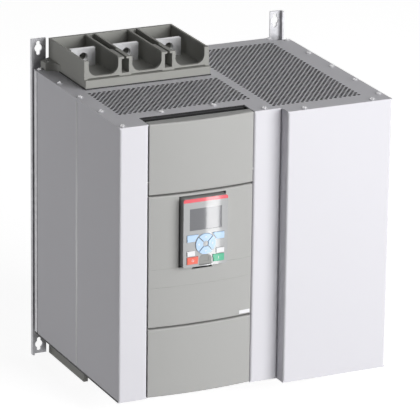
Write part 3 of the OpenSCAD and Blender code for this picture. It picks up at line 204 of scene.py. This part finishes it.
def makePadStrip(spec):
    point = np.array(spec["mirrors"])
    sight = point - np.array(cameraSetup["place"])
    sight = sight / np.linalg.norm(sight) * np.array([1.0, -1.0, 1.0])
    place = tuple(point + spec["distance"] * sight)
    strip = makeLamp("padStrip", {"place": place, "aim": spec["mirrors"], "size": spec["size"],
                                  "power": spec["power"]})
    strip.visible_diffuse = False


scene.view_settings.view_transform = "Standard"
makeSurround(studio)
makeFloor(studio)
for lampName in ("keyLamp", "fillLamp", "leftLamp", "topLamp"):
    makeLamp(lampName, studio[lampName])
makePadStrip(padStrip)
print("studio lit")


# Shared effects

def newGroup(name, inputs, outputs):
    group = bpy.data.node_groups.new(name, "ShaderNodeTree")
    for label, kind, value in inputs:
        socket = group.interface.new_socket(label, in_out="INPUT", socket_type=kind)
        if value is not None:
            socket.default_value = value
    for label, kind in outputs:
        group.interface.new_socket(label, in_out="OUTPUT", socket_type=kind)
    return group, group.nodes.new("NodeGroupInput"), group.nodes.new("NodeGroupOutput")


toneSockets = [
    ("Dark tone", "NodeSocketColor", (0.4, 0.4, 0.4, 1.0)),
    ("Light tone", "NodeSocketColor", (0.5, 0.5, 0.5, 1.0)),
    ("Low roughness", "NodeSocketFloat", 0.4),
    ("High roughness", "NodeSocketFloat", 0.5),
]
surfaceOutputs = [("Color", "NodeSocketColor"), ("Roughness", "NodeSocketFloat"), ("Height", "NodeSocketFloat")]


def addShares(tree, first, firstShare, second, secondShare):
    # the first value times its share plus the second value times its share
    part = addNode(tree, "ShaderNodeMath", operation="MULTIPLY")
    part.inputs[1].default_value = secondShare
    tree.links.new(second, part.inputs[0])
    whole = addNode(tree, "ShaderNodeMath", operation="MULTIPLY_ADD")
    whole.inputs[1].default_value = firstShare
    tree.links.new(first, whole.inputs[0])
    tree.links.new(part.outputs[0], whole.inputs[2])
    return whole.outputs[0]


def putOut(group, entry, leave, tone, gloss, height):
    # tone goes from the dark to the light tone, gloss from the low to the high roughness
    mix = addNode(group, "ShaderNodeMix", data_type="RGBA")
    group.links.new(tone, mix.inputs["Factor"])
    group.links.new(entry.outputs["Dark tone"], mix.inputs["A"])
    group.links.new(entry.outputs["Light tone"], mix.inputs["B"])
    group.links.new(mix.outputs["Result"], leave.inputs["Color"])
    spread = addNode(group, "ShaderNodeMapRange")
    group.links.new(gloss, spread.inputs["Value"])
    group.links.new(entry.outputs["Low roughness"], spread.inputs["To Min"])
    group.links.new(entry.outputs["High roughness"], spread.inputs["To Max"])
    group.links.new(spread.outputs["Result"], leave.inputs["Roughness"])
    group.links.new(height, leave.inputs["Height"])


grainMix = {"cloudDetail": 4.0, "cloudShare": 0.65, "grainDetail": 2.0, "grainShare": 0.35}


def makeMouldGrain(spec):
    # broad clouding from slow noise sets the tone, fine cells and fine noise together set the height
    group, entry, leave = newGroup("mouldGrain", [
        ("Vector", "NodeSocketVector", None), ("Cloud scale", "NodeSocketFloat", 14.0),
        ("Grain scale", "NodeSocketFloat", 900.0)] + toneSockets, surfaceOutputs)
    cloud = addNode(group, "ShaderNodeTexNoise")
    cloud.inputs["Detail"].default_value = spec["cloudDetail"]
    grain = addNode(group, "ShaderNodeTexNoise")
    grain.inputs["Detail"].default_value = spec["grainDetail"]
    cells = addNode(group, "ShaderNodeTexVoronoi")
    for texture, scale in ((cloud, "Cloud scale"), (grain, "Grain scale"), (cells, "Grain scale")):
        group.links.new(entry.outputs["Vector"], texture.inputs["Vector"])
        group.links.new(entry.outputs[scale], texture.inputs["Scale"])
    tone = addShares(group, grain.outputs["Fac"], spec["grainShare"], cloud.outputs["Fac"], spec["cloudShare"])
    height = addNode(group, "ShaderNodeMath", operation="ADD")
    group.links.new(grain.outputs["Fac"], height.inputs[0])
    group.links.new(cells.outputs["Distance"], height.inputs[1])
    putOut(group, entry, leave, tone, tone, height.outputs[0])
    return group


rollMix = {"lineDetail": 3.0, "lineShare": 0.5, "cloudDetail": 3.0, "cloudShare": 0.5, "cloudScale": 9.0}


def makeRolledSheet(spec):
    # noise drawn out along one direction gives rolling lines, slow noise a faint cloud over them
    group, entry, leave = newGroup("rolledSheet", [
        ("Vector", "NodeSocketVector", None), ("Line scale", "NodeSocketFloat", 700.0),
        ("Draw out", "NodeSocketVector", (1.0, 1.0, 0.02))] + toneSockets, surfaceOutputs)
    drawn = addNode(group, "ShaderNodeVectorMath", operation="MULTIPLY")
    group.links.new(entry.outputs["Vector"], drawn.inputs[0])
    group.links.new(entry.outputs["Draw out"], drawn.inputs[1])
    lines = addNode(group, "ShaderNodeTexNoise")
    lines.inputs["Detail"].default_value = spec["lineDetail"]
    group.links.new(drawn.outputs[0], lines.inputs["Vector"])
    group.links.new(entry.outputs["Line scale"], lines.inputs["Scale"])
    cloud = addNode(group, "ShaderNodeTexNoise")
    cloud.inputs["Scale"].default_value = spec["cloudScale"]
    cloud.inputs["Detail"].default_value = spec["cloudDetail"]
    group.links.new(entry.outputs["Vector"], cloud.inputs["Vector"])
    tone = addShares(group, lines.outputs["Fac"], spec["lineShare"], cloud.outputs["Fac"], spec["cloudShare"])
    putOut(group, entry, leave, tone, tone, lines.outputs["Fac"])
    return group


def makeZincSpangle():
    # each crystal of the zinc coat is a cell with a tone of its own, and its rim is a little lower
    group, entry, leave = newGroup("zincSpangle", [
        ("Vector", "NodeSocketVector", None), ("Crystal scale", "NodeSocketFloat", 120.0)] + toneSockets,
        surfaceOutputs)
    cells = addNode(group, "ShaderNodeTexVoronoi")
    rims = addNode(group, "ShaderNodeTexVoronoi", feature="DISTANCE_TO_EDGE")
    for texture in (cells, rims):
        group.links.new(entry.outputs["Vector"], texture.inputs["Vector"])
        group.links.new(entry.outputs["Crystal scale"], texture.inputs["Scale"])
    single = addNode(group, "ShaderNodeSeparateColor")
    group.links.new(cells.outputs["Color"], single.inputs["Color"])
    putOut(group, entry, leave, single.outputs["Red"], single.outputs["Green"], rims.outputs["Distance"])
    return group


effects = {"mouldGrain": makeMouldGrain(grainMix), "rolledSheet": makeRolledSheet(rollMix),
           "zincSpangle": makeZincSpangle()}


# Finishes: tone with its spread, lowest and highest roughness, and how strong the bump is

bumpDepth = 0.1 * mm
finishes = {
    "case_sheet": {"effect": "mouldGrain", "tone": (0.715, 0.708, 0.748), "spread": 0.02,
                   "roughness": (0.42, 0.52), "bump": 0.08, "pattern": {"Cloud scale": 6.0, "Grain scale": 1300.0},
                   "shader": {"Specular IOR Level": 0.25}},
    "zinc_steel": {"effect": "zincSpangle", "tone": (0.50, 0.50, 0.52), "spread": 0.10, "roughness": (0.35, 0.5),
                   "bump": 0.08, "pattern": {"Crystal scale": 140.0}, "shader": {"Metallic": 0.6}},
    "screw_zinc": {"effect": "rolledSheet", "tone": (0.58, 0.58, 0.59), "spread": 0.06, "roughness": (0.22, 0.34),
                   "bump": 0.05, "pattern": {"Draw out": (1.0, 1.0, 1.0)}, "shader": {"Metallic": 0.85}},
    "moulded_grey": {"effect": "mouldGrain", "tone": (0.415, 0.415, 0.405), "spread": 0.03,
                     "roughness": (0.5, 0.62), "bump": 0.12, "shader": {"Specular IOR Level": 0.3}},
    "shroud_plastic": {"effect": "mouldGrain", "tone": (0.33, 0.33, 0.31), "spread": 0.05,
                       "roughness": (0.55, 0.7), "bump": 0.15, "shader": {"Specular IOR Level": 0.3}},
    "black_plastic": {"effect": "mouldGrain", "tone": (0.022, 0.022, 0.024), "spread": 0.2,
                      "roughness": (0.45, 0.6), "bump": 0.15, "shader": {"Specular IOR Level": 0.3}},
    "tinned_bar": {"effect": "rolledSheet", "tone": (0.80, 0.80, 0.82), "spread": 0.07, "roughness": (0.22, 0.4),
                   "bump": 0.1, "pattern": {"Line scale": 900.0}, "shader": {"Metallic": 0.45}},
    "bus_copper": {"effect": "rolledSheet", "tone": (0.66, 0.36, 0.22), "spread": 0.12, "roughness": (0.25, 0.45),
                   "bump": 0.1, "pattern": {"Draw out": (0.02, 1.0, 1.0)}, "shader": {"Metallic": 0.95}},
    "sink_aluminium": {"effect": "rolledSheet", "tone": (0.40, 0.40, 0.41), "spread": 0.10, "roughness": (0.55, 0.7),
                       "bump": 0.1, "shader": {"Metallic": 0.5, "Specular IOR Level": 0.2}},
    "circuit_board": {"effect": "zincSpangle", "tone": (0.03, 0.18, 0.08), "spread": 0.25,
                      "roughness": (0.25, 0.45), "bump": 0.2, "pattern": {"Crystal scale": 420.0}},
    "terminal_green": {"effect": "mouldGrain", "tone": (0.05, 0.28, 0.12), "spread": 0.06,
                       "roughness": (0.4, 0.55), "bump": 0.12},
    "keypad_shell": {"effect": "mouldGrain", "tone": (0.28, 0.28, 0.278), "spread": 0.08,
                     "roughness": (0.45, 0.6), "bump": 0.12},
    "keypad_silver": {"effect": "mouldGrain", "tone": (0.36, 0.365, 0.37), "spread": 0.04,
                      "roughness": (0.22, 0.3), "bump": 0.03, "pattern": {"Grain scale": 2200.0},
                      "shader": {"Coat Weight": 1.0, "Coat Roughness": 0.05}},
    "keypad_red": {"effect": "mouldGrain", "tone": (0.76, 0.055, 0.085), "spread": 0.04, "roughness": (0.18, 0.28),
                   "bump": 0.03, "shader": {"Coat Weight": 0.9, "Coat Roughness": 0.05}},
    "screen_glass": {"effect": "mouldGrain", "tone": (0.145, 0.148, 0.16), "spread": 0.03,
                     "roughness": (0.04, 0.07), "bump": 0.0, "shader": {"Coat Weight": 0.6}},
    "key_blue": {"effect": "mouldGrain", "tone": (0.50, 0.68, 0.90), "spread": 0.03, "roughness": (0.25, 0.35),
                 "bump": 0.05, "shader": {"Coat Weight": 0.2}},
    "key_white": {"effect": "mouldGrain", "tone": (0.82, 0.82, 0.84), "spread": 0.02, "roughness": (0.25, 0.35),
                  "bump": 0.05, "shader": {"Coat Weight": 0.2}},
    "key_red": {"effect": "mouldGrain", "tone": (0.82, 0.14, 0.09), "spread": 0.04, "roughness": (0.25, 0.35),
                "bump": 0.05, "shader": {"Coat Weight": 0.2}},
    "key_green": {"effect": "mouldGrain", "tone": (0.08, 0.46, 0.27), "spread": 0.04, "roughness": (0.25, 0.35),
                  "bump": 0.05, "shader": {"Coat Weight": 0.2}},
    "flap_grey": {"effect": "mouldGrain", "tone": (0.28, 0.28, 0.27), "spread": 0.05, "roughness": (0.4, 0.5),
                  "bump": 0.1},
}


def finishMaterial(name, spec):
    # one shared effect feeds tone, roughness and a bump, and the rest is set on the shader itself
    material = bpy.data.materials.new(name)
    material.use_nodes = True
    tree = material.node_tree
    shader = tree.nodes["Principled BSDF"]
    where = addNode(tree, "ShaderNodeTexCoord")
    effect = addNode(tree, "ShaderNodeGroup", node_tree=effects[spec["effect"]])
    tree.links.new(where.outputs["Object"], effect.inputs["Vector"])
    for label, share in (("Dark tone", 1.0 - spec["spread"]), ("Light tone", 1.0 + spec["spread"])):
        effect.inputs[label].default_value = tuple(min(1.0, c * share) for c in spec["tone"]) + (1.0,)
    effect.inputs["Low roughness"].default_value, effect.inputs["High roughness"].default_value = spec["roughness"]
    for label, value in spec.get("pattern", {}).items():
        effect.inputs[label].default_value = value
    tree.links.new(effect.outputs["Color"], shader.inputs["Base Color"])
    tree.links.new(effect.outputs["Roughness"], shader.inputs["Roughness"])
    bump = addNode(tree, "ShaderNodeBump")
    bump.inputs["Strength"].default_value = spec["bump"]
    bump.inputs["Distance"].default_value = bumpDepth
    tree.links.new(effect.outputs["Height"], bump.inputs["Height"])
    tree.links.new(bump.outputs["Normal"], shader.inputs["Normal"])
    for label, value in spec.get("shader", {}).items():
        shader.inputs[label].default_value = value
    return material


def dressNodes():
    slots = {row["node"]: row["material_slot"] for row in frame["record"]["subparts"]}
    for name, node in nodes.items():
        node.data.materials.clear()
        node.data.materials.append(materials[slots[name]])


materials = {name: finishMaterial(name, spec) for name, spec in finishes.items()}
dressNodes()
print("finishes on:", len(materials))


# New pieces: every size and place from here on is in millimetres

def boxOf(node):
    return [np.array(corner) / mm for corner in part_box(node)]


def addPiece(name, points, faces, slot, body, smooth=False):
    mesh = bpy.data.meshes.new(name)
    mesh.from_pydata((points * mm).tolist(), [], faces if isinstance(faces, list) else faces.tolist())
    mesh.validate()
    mesh.polygons.foreach_set("use_smooth", np.full(len(mesh.polygons), smooth))
    mesh.materials.append(materials[slot])
    piece = bpy.data.objects.new(name, mesh)
    scene.collection.objects.link(piece)
    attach(piece, body)
    return piece


def addSlab(name, front, back, slot, body, smooth=False):
    # two grids of the same size, the front one seen from outside, joined round their rims
    rows, cols = front.shape[:2]
    count = rows * cols
    index = np.arange(count).reshape(rows, cols)
    quads = np.stack([index[:-1, :-1], index[:-1, 1:], index[1:, 1:], index[1:, :-1]], axis=-1).reshape(-1, 4)
    rim = np.concatenate([index[0, :-1], index[:-1, -1], index[-1, :0:-1], index[:0:-1, 0]])
    following = np.roll(rim, -1)
    walls = np.column_stack([rim, rim + count, following + count, following])
    points = np.concatenate([front.reshape(-1, 3), back.reshape(-1, 3)])
    addPiece(name, points, np.concatenate([quads, quads[:, ::-1] + count, walls]), slot, body, smooth)


def ringSteps(count):
    # each point of a closed ring, and the one after it
    k = np.arange(count)
    return k, (k + 1) % count


# Perforated covers: a sheet with two fields of staggered round holes, whose walls are black to paint the shade inside
# them

topSheet = {
    "hole": 5.2,
    "pitch": 8.0,
    "row": 5.05,
    "thick": 2.0,
    "fields": ((-194.0, 23.0, -291.0, -170.5), (34.5, 184.5, -338.0, -30.0)),
    "notch": (-171.5, -0.5, -350.0, -314.0),
    "step": (44.5, -350.0),  # the module's part starts at this x and reaches further forward than this y
    "rear": (-7.0, -24.0),  # rear edge between the fixing tabs, and at them
    "tabs": (-187.0, 191.5),
    "barWindows": tuple((x - 24.0, x + 24.0, -82.0, -54.0) for x in (-156.0, -84.5, -13.0)),
    "faceDown": False,
}
bottomSheet = dict(topSheet, notch=(-171.5, -0.5, -350.0, -335.0), faceDown=True)


def inBox(x, y, box):
    return (x > box[0]) & (x < box[1]) & (y > box[2]) & (y < box[3])


def twoLayers(flat, level, spec):
    # the same points at the sheet's outer face and at its inner face
    return np.concatenate([np.column_stack([flat, np.full(len(flat), z)]) for z in (level, level - spec["thick"])])


def plainSheet(spec, low, high):
    # the outline's lines cut a grid of rectangles; those inside the outline and off every field and window stay
    cuts = spec["fields"] + spec["barWindows"]
    xs = np.unique([low[0], high[0], spec["step"][0], *spec["notch"][:2], *spec["tabs"]]
                   + [v for box in cuts for v in box[:2]])
    ys = np.unique([low[1], spec["step"][1], *spec["notch"][2:], *spec["rear"]] + [v for box in cuts for v in box[2:]])
    x, y = np.meshgrid((xs[1:] + xs[:-1]) / 2, (ys[1:] + ys[:-1]) / 2, indexing="ij")
    solid = (y > spec["step"][1]) | (x > spec["step"][0])
    solid &= ~inBox(x, y, spec["notch"])
    solid &= (y < spec["rear"][1]) | ((x > spec["tabs"][0]) & (x < spec["tabs"][1]))
    for box in spec["barWindows"]:
        solid &= ~inBox(x, y, box)
    keep = solid.copy()
    for box in spec["fields"]:
        keep &= ~inBox(x, y, box)
    flat = np.stack(np.meshgrid(xs, ys, indexing="ij"), axis=-1).reshape(-1, 2)
    index = np.arange(len(flat)).reshape(len(xs), len(ys))
    i, j = np.nonzero(keep)
    ring = np.column_stack([index[i, j], index[i + 1, j], index[i + 1, j + 1], index[i, j + 1]])
    faces = [ring, ring[:, ::-1] + len(flat)]
    padded = np.pad(solid, 1)
    for di, dj, a, b in ((-1, 0, 3, 0), (1, 0, 1, 2), (0, -1, 0, 1), (0, 1, 2, 3)):
        edge = ~padded[i + 1 + di, j + 1 + dj]
        faces.append(np.column_stack([ring[edge, a], ring[edge, a] + len(flat),
                                      ring[edge, b] + len(flat), ring[edge, b]]))
    return twoLayers(flat, high[2], spec), np.concatenate(faces)


def holeField(spec, box, level):
    # rows of six-sided cells, each second row moved by half a cell: a cell is a ring between its round hole and
    # its outline, and half cells and small wedges fill the field up to its straight edges
    x0, x1, y0, y1 = box
    cols = round((x1 - x0) / spec["pitch"])
    rows = round((y1 - y0) / spec["row"] - (spec["pitch"] / spec["row"] / 2) ** 2)
    cell = (x1 - x0) / cols
    step = (y1 - y0 + math.sqrt((y1 - y0) ** 2 - rows * cell ** 2)) / (2 * rows)
    tip = ((cell / 2) ** 2 + step ** 2) / (2 * step)
    shoulder = step - tip
    row, col = np.meshgrid(np.arange(rows), np.arange(cols), indexing="ij")
    odd = row % 2
    keep = ~((odd == 1) & (col == cols - 1))
    centre = np.column_stack([(x0 + (col + 0.5 + 0.5 * odd) * cell)[keep], (y0 + tip + row * step)[keep]])
    six = np.array([[1, -1, 0], [1, 1, 0], [0, 0, 1], [-1, 1, 0], [-1, -1, 0], [0, 0, -1]]) @ np.array(
        [[cell / 2, 0.0], [0.0, shoulder], [0.0, tip]])
    outer = np.stack([six, (six + np.roll(six, -1, axis=0)) / 2], axis=1).reshape(-1, 2)
    sides = len(outer)
    turn = (np.arange(sides) - 1) * 2 * math.pi / sides
    inner = np.column_stack([np.cos(turn), np.sin(turn)]) * spec["hole"] / 2
    cells = (centre[:, None] + np.concatenate([outer, inner])[None]).reshape(-1, 2)
    k, n = ringSteps(sides)
    start = (np.arange(len(centre)) * 2 * sides)[:, None, None]
    rings = np.column_stack([k, n, n + sides, k + sides])[None] + start

    y = (y0 + tip + np.arange(1, rows, 2) * step)[:, None, None]
    lean = np.array([[0.0, -tip], [cell / 2, -shoulder], [cell / 2, shoulder], [0.0, tip]])[None]
    fillers = [lean + np.concatenate([np.full_like(y, x0), y], axis=2),
               -lean + np.concatenate([np.full_like(y, x1), y], axis=2)]
    for last, edge, up in ((0, y0, 1), ((rows - 1) % 2, y1, -1)):
        ends = np.unique(np.clip(x0 + (np.arange(cols + 2) - 0.5 * (1 - last)) * cell, x0, x1))
        a, b = ends[:-1], ends[1:]
        mid = (a + b) / 2
        point = np.where((a == x0) & (last == 0), a, np.where((b == x1) & (last == 0), b, mid))
        wedge = np.stack([np.stack([v, np.full_like(v, edge)], axis=1) for v in (a, mid, b)]
                         + [np.stack([point, np.full_like(point, edge + up * (tip - shoulder))], axis=1)], axis=1)
        fillers.append(wedge[:, ::up])
    plain = np.concatenate(fillers)
    flat = np.concatenate([cells, plain.reshape(-1, 2)])
    upper = np.concatenate([rings.reshape(-1, 4), np.arange(plain.size // 2).reshape(-1, 4) + len(cells)])
    return twoLayers(flat, level, spec), np.concatenate([upper, upper[:, ::-1] + len(flat)]), centre, inner


def holeWalls(spec, centre, inner, level):
    # one ring of points for each hole at both faces of the sheet, joined by faces that look into the hole
    flat = (centre[:, None] + inner[None]).reshape(-1, 2)
    k, n = ringSteps(len(inner))
    start = (np.arange(len(centre)) * len(inner))[:, None, None]
    faces = (np.column_stack([k, n, n + len(flat), k + len(flat)])[None] + start).reshape(-1, 4)
    return twoLayers(flat, level, spec), faces


def joinParts(parts, spec, low, high):
    # the faces' numbers move on by the points before them; a sheet that faces down turns over about its middle level
    starts = np.cumsum([0] + [len(points) for points, _ in parts])
    points = np.concatenate([points for points, _ in parts])
    faces = np.concatenate([quads + start for (_, quads), start in zip(parts, starts)])
    if spec["faceDown"]:
        points[:, 2] = low[2] + high[2] - points[:, 2]
        faces = faces[:, ::-1]
    return points, faces


def makePerforated(name, node, spec):
    low, high = boxOf(node)
    sheetParts, wallParts, holes = [plainSheet(spec, low, high)], [], 0
    for box in spec["fields"]:
        points, quads, centre, inner = holeField(spec, box, high[2])
        sheetParts.append((points, quads))
        wallParts.append(holeWalls(spec, centre, inner, high[2]))
        holes += len(centre)
    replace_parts(addPiece(name, *joinParts(sheetParts, spec, low, high), "case_sheet", "case"), node)
    # the hole walls take the black finish: painted shade inside the holes
    addPiece(name + "HoleShade", *joinParts(wallParts, spec, low, high), "black_plastic", "case")
    print(name, "has", holes, "holes")


makePerforated("perforatedTop", "top_cover", topSheet)
makePerforated("perforatedBottom", "bottom_cover", bottomSheet)


# Dark seals round the foot of each shroud that paint their contact shade, dark trim along two edges that paints shade
# on them, and a pale bead in the left crease that paints a highlight there

shadeSeal = {"left": -187.55, "right": 18.55, "proud": 0.8, "inside": 0.8, "height": 1.8}


def makeShadeSeal(name, node, up, spec):
    # a square section carried once round the outline of the shroud's foot, from just inside its walls outwards; its
    # black finish paints the contact shade at the foot
    low, high = boxOf(node)
    foot = low[2] if up > 0 else high[2]
    left, right, inside, proud, height = (spec[k] for k in ("left", "right", "inside", "proud", "height"))
    path = np.array([[left, low[1]], [right, low[1]], [right, high[1]], [left, high[1]]])
    out = np.array([[-1, -1], [1, -1], [1, 1], [-1, 1]])
    section = ((-inside, 0.0), (proud, 0.0), (proud, height), (-inside, height))
    points = np.concatenate([np.column_stack([path + out * reach, np.full(len(path), foot + up * rise)])
                             for reach, rise in section])
    k, n = ringSteps(len(path))
    ring = (np.arange(len(section)) * len(path))[:, None]
    following = np.roll(ring, -1, axis=0)
    faces = np.stack([k + ring, n + ring, n + following, k + following], axis=-1).reshape(-1, 4)
    addPiece(name, points, faces[:, ::up], "black_plastic", "case")


edgeShadeTrim = {"front": -349.0, "rear": -26.0, "proud": 0.5, "inside": 0.2, "low": 0.1, "high": 2.4}


def makeEdgeShadeTrim(name, side, spec):
    # a flat black strip over one side edge of the bottom cover, which paints a line of shade under the side panel's
    # lower edge
    low, high = boxOf("bottom_cover")
    x = (low[0] if side < 0 else high[0]) + side * spec["proud"]
    y, z = np.meshgrid(np.array([spec["rear"], spec["front"]])[::-side],
                       [low[2] + spec["low"], low[2] + spec["high"]])
    face = np.stack([np.full_like(y, x), y, z], axis=-1)
    depth = np.array([side * (spec["proud"] + spec["inside"]), 0.0, 0.0])
    addSlab(name, face, face - depth, "black_plastic", "case")


gapShadeTrim = {"proud": 0.5, "inside": 0.2, "short": 0.2, "below": 0.05}


def makeGapShadeTrim(spec):
    # a thin flat strip over the sheet's edge along the rear of the finger gap; its black finish paints shade on an
    # edge that the lamps light
    left, right, _, rear = topSheet["notch"]
    level = boxOf("top_cover")[1][2]
    x, z = np.meshgrid([left + spec["short"], right - spec["short"]],
                       [level - topSheet["thick"], level - spec["below"]])
    face = np.stack([x, np.full_like(x, rear - spec["proud"]), z], axis=-1)
    addSlab("gapShadeTrim", face, face + np.array([0.0, spec["proud"] + spec["inside"], 0.0]), "black_plastic", "case")


sideHighlightBead = {"y": -190.5, "width": 6.0, "proud": 0.3, "inside": 0.2, "short": 3.0, "steps": 12}


def makeSideHighlightBead(spec):
    # a low rounded bead, one arch of a squared cosine across its width, that runs up the crease of the left side; its
    # pale key finish paints a highlight along the crease
    low, high = boxOf("left_side_panel")
    share = np.linspace(-1.0, 1.0, spec["steps"] + 1)
    y, z = np.meshgrid(spec["y"] - share * spec["width"] / 2, [low[2] + spec["short"], high[2] - spec["short"]])
    x = low[0] - spec["proud"] * np.cos(share * math.pi / 2) ** 2 * np.ones((2, 1))
    front, back = (np.stack([depth, y, z], axis=-1) for depth in (x, np.full_like(x, low[0] + spec["inside"])))
    addSlab("sideHighlightBead", front, back, "key_white", "case", smooth=True)


makeShadeSeal("lineShadeSeal", "line_shroud", 1, shadeSeal)
makeShadeSeal("loadShadeSeal", "load_shroud", -1, shadeSeal)
makeEdgeShadeTrim("leftShadeTrim", -1, edgeShadeTrim)
makeEdgeShadeTrim("rightShadeTrim", 1, edgeShadeTrim)
makeGapShadeTrim(gapShadeTrim)
makeSideHighlightBead(sideHighlightBead)
print("seals, trim and bead placed")


# Screws: a profile carried round an axis, with a cross sunk into the dome

screwHead = {
    "radius": 4.1,
    "rise": 3.0,
    "rim": 1.2,
    "solidRise": 2.2,  # height of the solid head that marks the screw's place
    "shank": 1.5,
    "length": 8.0,
    "cross": (4.4, 1.1),  # length and width of the recess
    "crossDepth": 1.3,
    "rings": 10,
    "sides": 32,
    "tipDepth": 0.02,  # points this near to the outermost level belong to the tips
    "apart": 5.0,  # points nearer than this belong to the same screw
}


def screwShape(spec):
    # rings step outwards over the dome, down its rim, in under the head and down the shank to a closed end
    dome = spec["rise"] - spec["rim"]
    ball = (spec["radius"] ** 2 + dome ** 2) / (2 * dome)
    out = np.linspace(0.0, spec["radius"], spec["rings"] + 1)[1:]
    radius = np.concatenate([out, [spec["radius"], spec["shank"], spec["shank"]]])
    level = np.concatenate([spec["rise"] - ball + np.sqrt(ball ** 2 - out ** 2), [0.0, 0.0, -spec["length"]]])
    turn = np.arange(spec["sides"]) * 2 * math.pi / spec["sides"]
    x, y = radius[:, None] * np.cos(turn), radius[:, None] * np.sin(turn)
    z = np.repeat(level[:, None], spec["sides"], axis=1)
    half = np.array(spec["cross"]) / 2
    along = (np.abs(x) < half[0]) & (np.abs(y) < half[1])
    across = (np.abs(y) < half[0]) & (np.abs(x) < half[1])
    sunk = (along | across) & (np.arange(len(radius)) < spec["rings"])[:, None]
    z = z - spec["crossDepth"] * sunk
    grid = np.stack([x, y, z], axis=-1).reshape(-1, 3)
    points = np.concatenate([grid, [[0.0, 0.0, spec["rise"] - spec["crossDepth"]], [0.0, 0.0, -spec["length"]]]])
    k, n = ringSteps(spec["sides"])
    row = (np.arange(len(radius) - 1) * spec["sides"])[:, None]
    quads = np.stack([k + row, k + row + spec["sides"], n + row + spec["sides"], n + row], axis=-1).reshape(-1, 4)
    last = (len(radius) - 1) * spec["sides"]
    caps = np.concatenate([np.column_stack([np.full(len(k), len(grid)), k, n]),
                           np.column_stack([np.full(len(k), len(grid) + 1), n + last, k + last])])
    return points, quads, caps


def headPlaces(node, side, spec):
    # the outermost points of a node in one direction along Z lie in a small ring on each screw, and the middle of
    # the box round a ring is that screw's place
    mesh = nodes[node].data
    flat = np.empty(len(mesh.vertices) * 3)
    mesh.vertices.foreach_get("co", flat)
    points = flat.reshape(-1, 3) / mm
    reach = (side * points[:, 2]).max()
    tips = np.unique(np.round(points[side * points[:, 2] > reach - spec["tipDepth"]], 3), axis=0)
    near = (np.linalg.norm(tips[:, None] - tips[None], axis=2) < spec["apart"])[:, :, None]
    middle = (np.where(near, tips[None], np.inf).min(axis=1) + np.where(near, tips[None], -np.inf).max(axis=1)) / 2
    return np.unique(np.round(middle, 2), axis=0)


def makeScrews(name, node, sides, spec):
    points, quads, caps = screwShape(spec)
    allPoints, allFaces, count = [], [], 0
    for side in sides:
        for place in headPlaces(node, side, spec):
            foot = place - np.array([0.0, 0.0, side * spec["solidRise"]])
            allPoints.append(points * np.array([1.0, side, side]) + foot)  # turned over about X for the lower ones
            allFaces += (quads + count).tolist() + (caps + count).tolist()
            count += len(points)
    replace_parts(addPiece(name, np.concatenate(allPoints), allFaces, "screw_zinc", "case"), node)
    print(name, "has", len(allPoints), "screws")


makeScrews("topScrewHeads", "top_screws", (1,), screwHead)
makeScrews("bottomScrewHeads", "bottom_screws", (-1,), screwHead)
makeScrews("shroudScrewHeads", "shroud_screws", (1, -1), screwHead)


# Raised signs on the keys

keySigns = {
    "raise": 0.15,
    "inside": 0.05,
    "arrowWidth": 4.2,
    "arrowHeight": 2.6,
    "arrowTip": 0.04,  # share of the width that is left at the tip
    "arrowBase": 0.4,  # share of the height that lies behind the arrow's middle
    "arrowRows": 4,
    "arrowColumns": 5,
    "outward": 1.2,  # arrows stand this much further out than the middle of their key
    "ring": (1.3, 1.9),
    "bar": (0.7, 3.6),
    "steps": 24,
}


def arrowShape(turn, spec):
    # a triangle: rows from its base to its tip, each row narrower than the one before
    share = np.linspace(0.0, 1.0, spec["arrowRows"])[:, None]
    row = np.linspace(-0.5, 0.5, spec["arrowColumns"])[None]
    across = row * spec["arrowWidth"] * (1 - (1 - spec["arrowTip"]) * share)
    up = (share - spec["arrowBase"]) * spec["arrowHeight"] + spec["outward"] + 0 * row
    c, d = math.cos(turn), math.sin(turn)
    return c * across - d * up, d * across + c * up


def ringShape(spec):
    # outer and inner circle of the sign, closed on itself
    turn = np.linspace(0.0, 2 * math.pi, spec["steps"] + 1)[None]
    radius = np.array(spec["ring"])[::-1, None]
    return radius * np.sin(turn), radius * np.cos(turn)


def barShape(spec):
    # an upright rectangle
    return np.meshgrid(np.array([-0.5, 0.5]) * spec["bar"][0], np.array([-0.5, 0.5]) * spec["bar"][1])


def makeSign(node, shape, spec):
    # grids of x and z offsets, carried from just inside the key's face to a little ahead of it
    low, high = boxOf(node)
    middle = (low + high) / 2
    across, up = shape
    face = np.stack([middle[0] + across, np.full_like(across, low[1] - spec["raise"]), middle[2] + up], axis=-1)
    behind = face + np.array([0.0, spec["raise"] + spec["inside"], 0.0])
    addSlab(node + "Sign", face, behind, "key_white", node + "_body")


for keyName, quarter in (("key_up", 0), ("key_left", 1), ("key_down", 2), ("key_right", 3)):
    makeSign(keyName, arrowShape(quarter * math.pi / 2, keySigns), keySigns)
makeSign("stop_key", ringShape(keySigns), keySigns)
makeSign("start_key", barShape(keySigns), keySigns)


# Bare plate on the crowned middle cover

barePlate = {"left": -21.6, "right": -3.5, "low": -98.6, "high": -93.2, "raise": 0.3, "inside": 0.2, "crown": 5.5,
             "steps": 12}


def makeBarePlate(spec):
    # the cover's front is an arc over its width; the plate follows that arc a little ahead of it
    low, high = boxOf("middle_front_cover")
    half = (high[0] - low[0]) / 2
    radius = (half ** 2 + spec["crown"] ** 2) / (2 * spec["crown"])
    x, z = np.meshgrid(np.linspace(spec["left"], spec["right"], spec["steps"] + 1), [spec["low"], spec["high"]])
    y = low[1] + radius - np.sqrt(radius ** 2 - (x - (low[0] + high[0]) / 2) ** 2)
    face = np.stack([x, y - spec["raise"], z], axis=-1)
    behind = face + np.array([0.0, spec["raise"] + spec["inside"], 0.0])
    addSlab("barePlate", face, behind, "key_white", "case")


makeBarePlate(barePlate)
print("signs and plate placed")

print("scene ready")
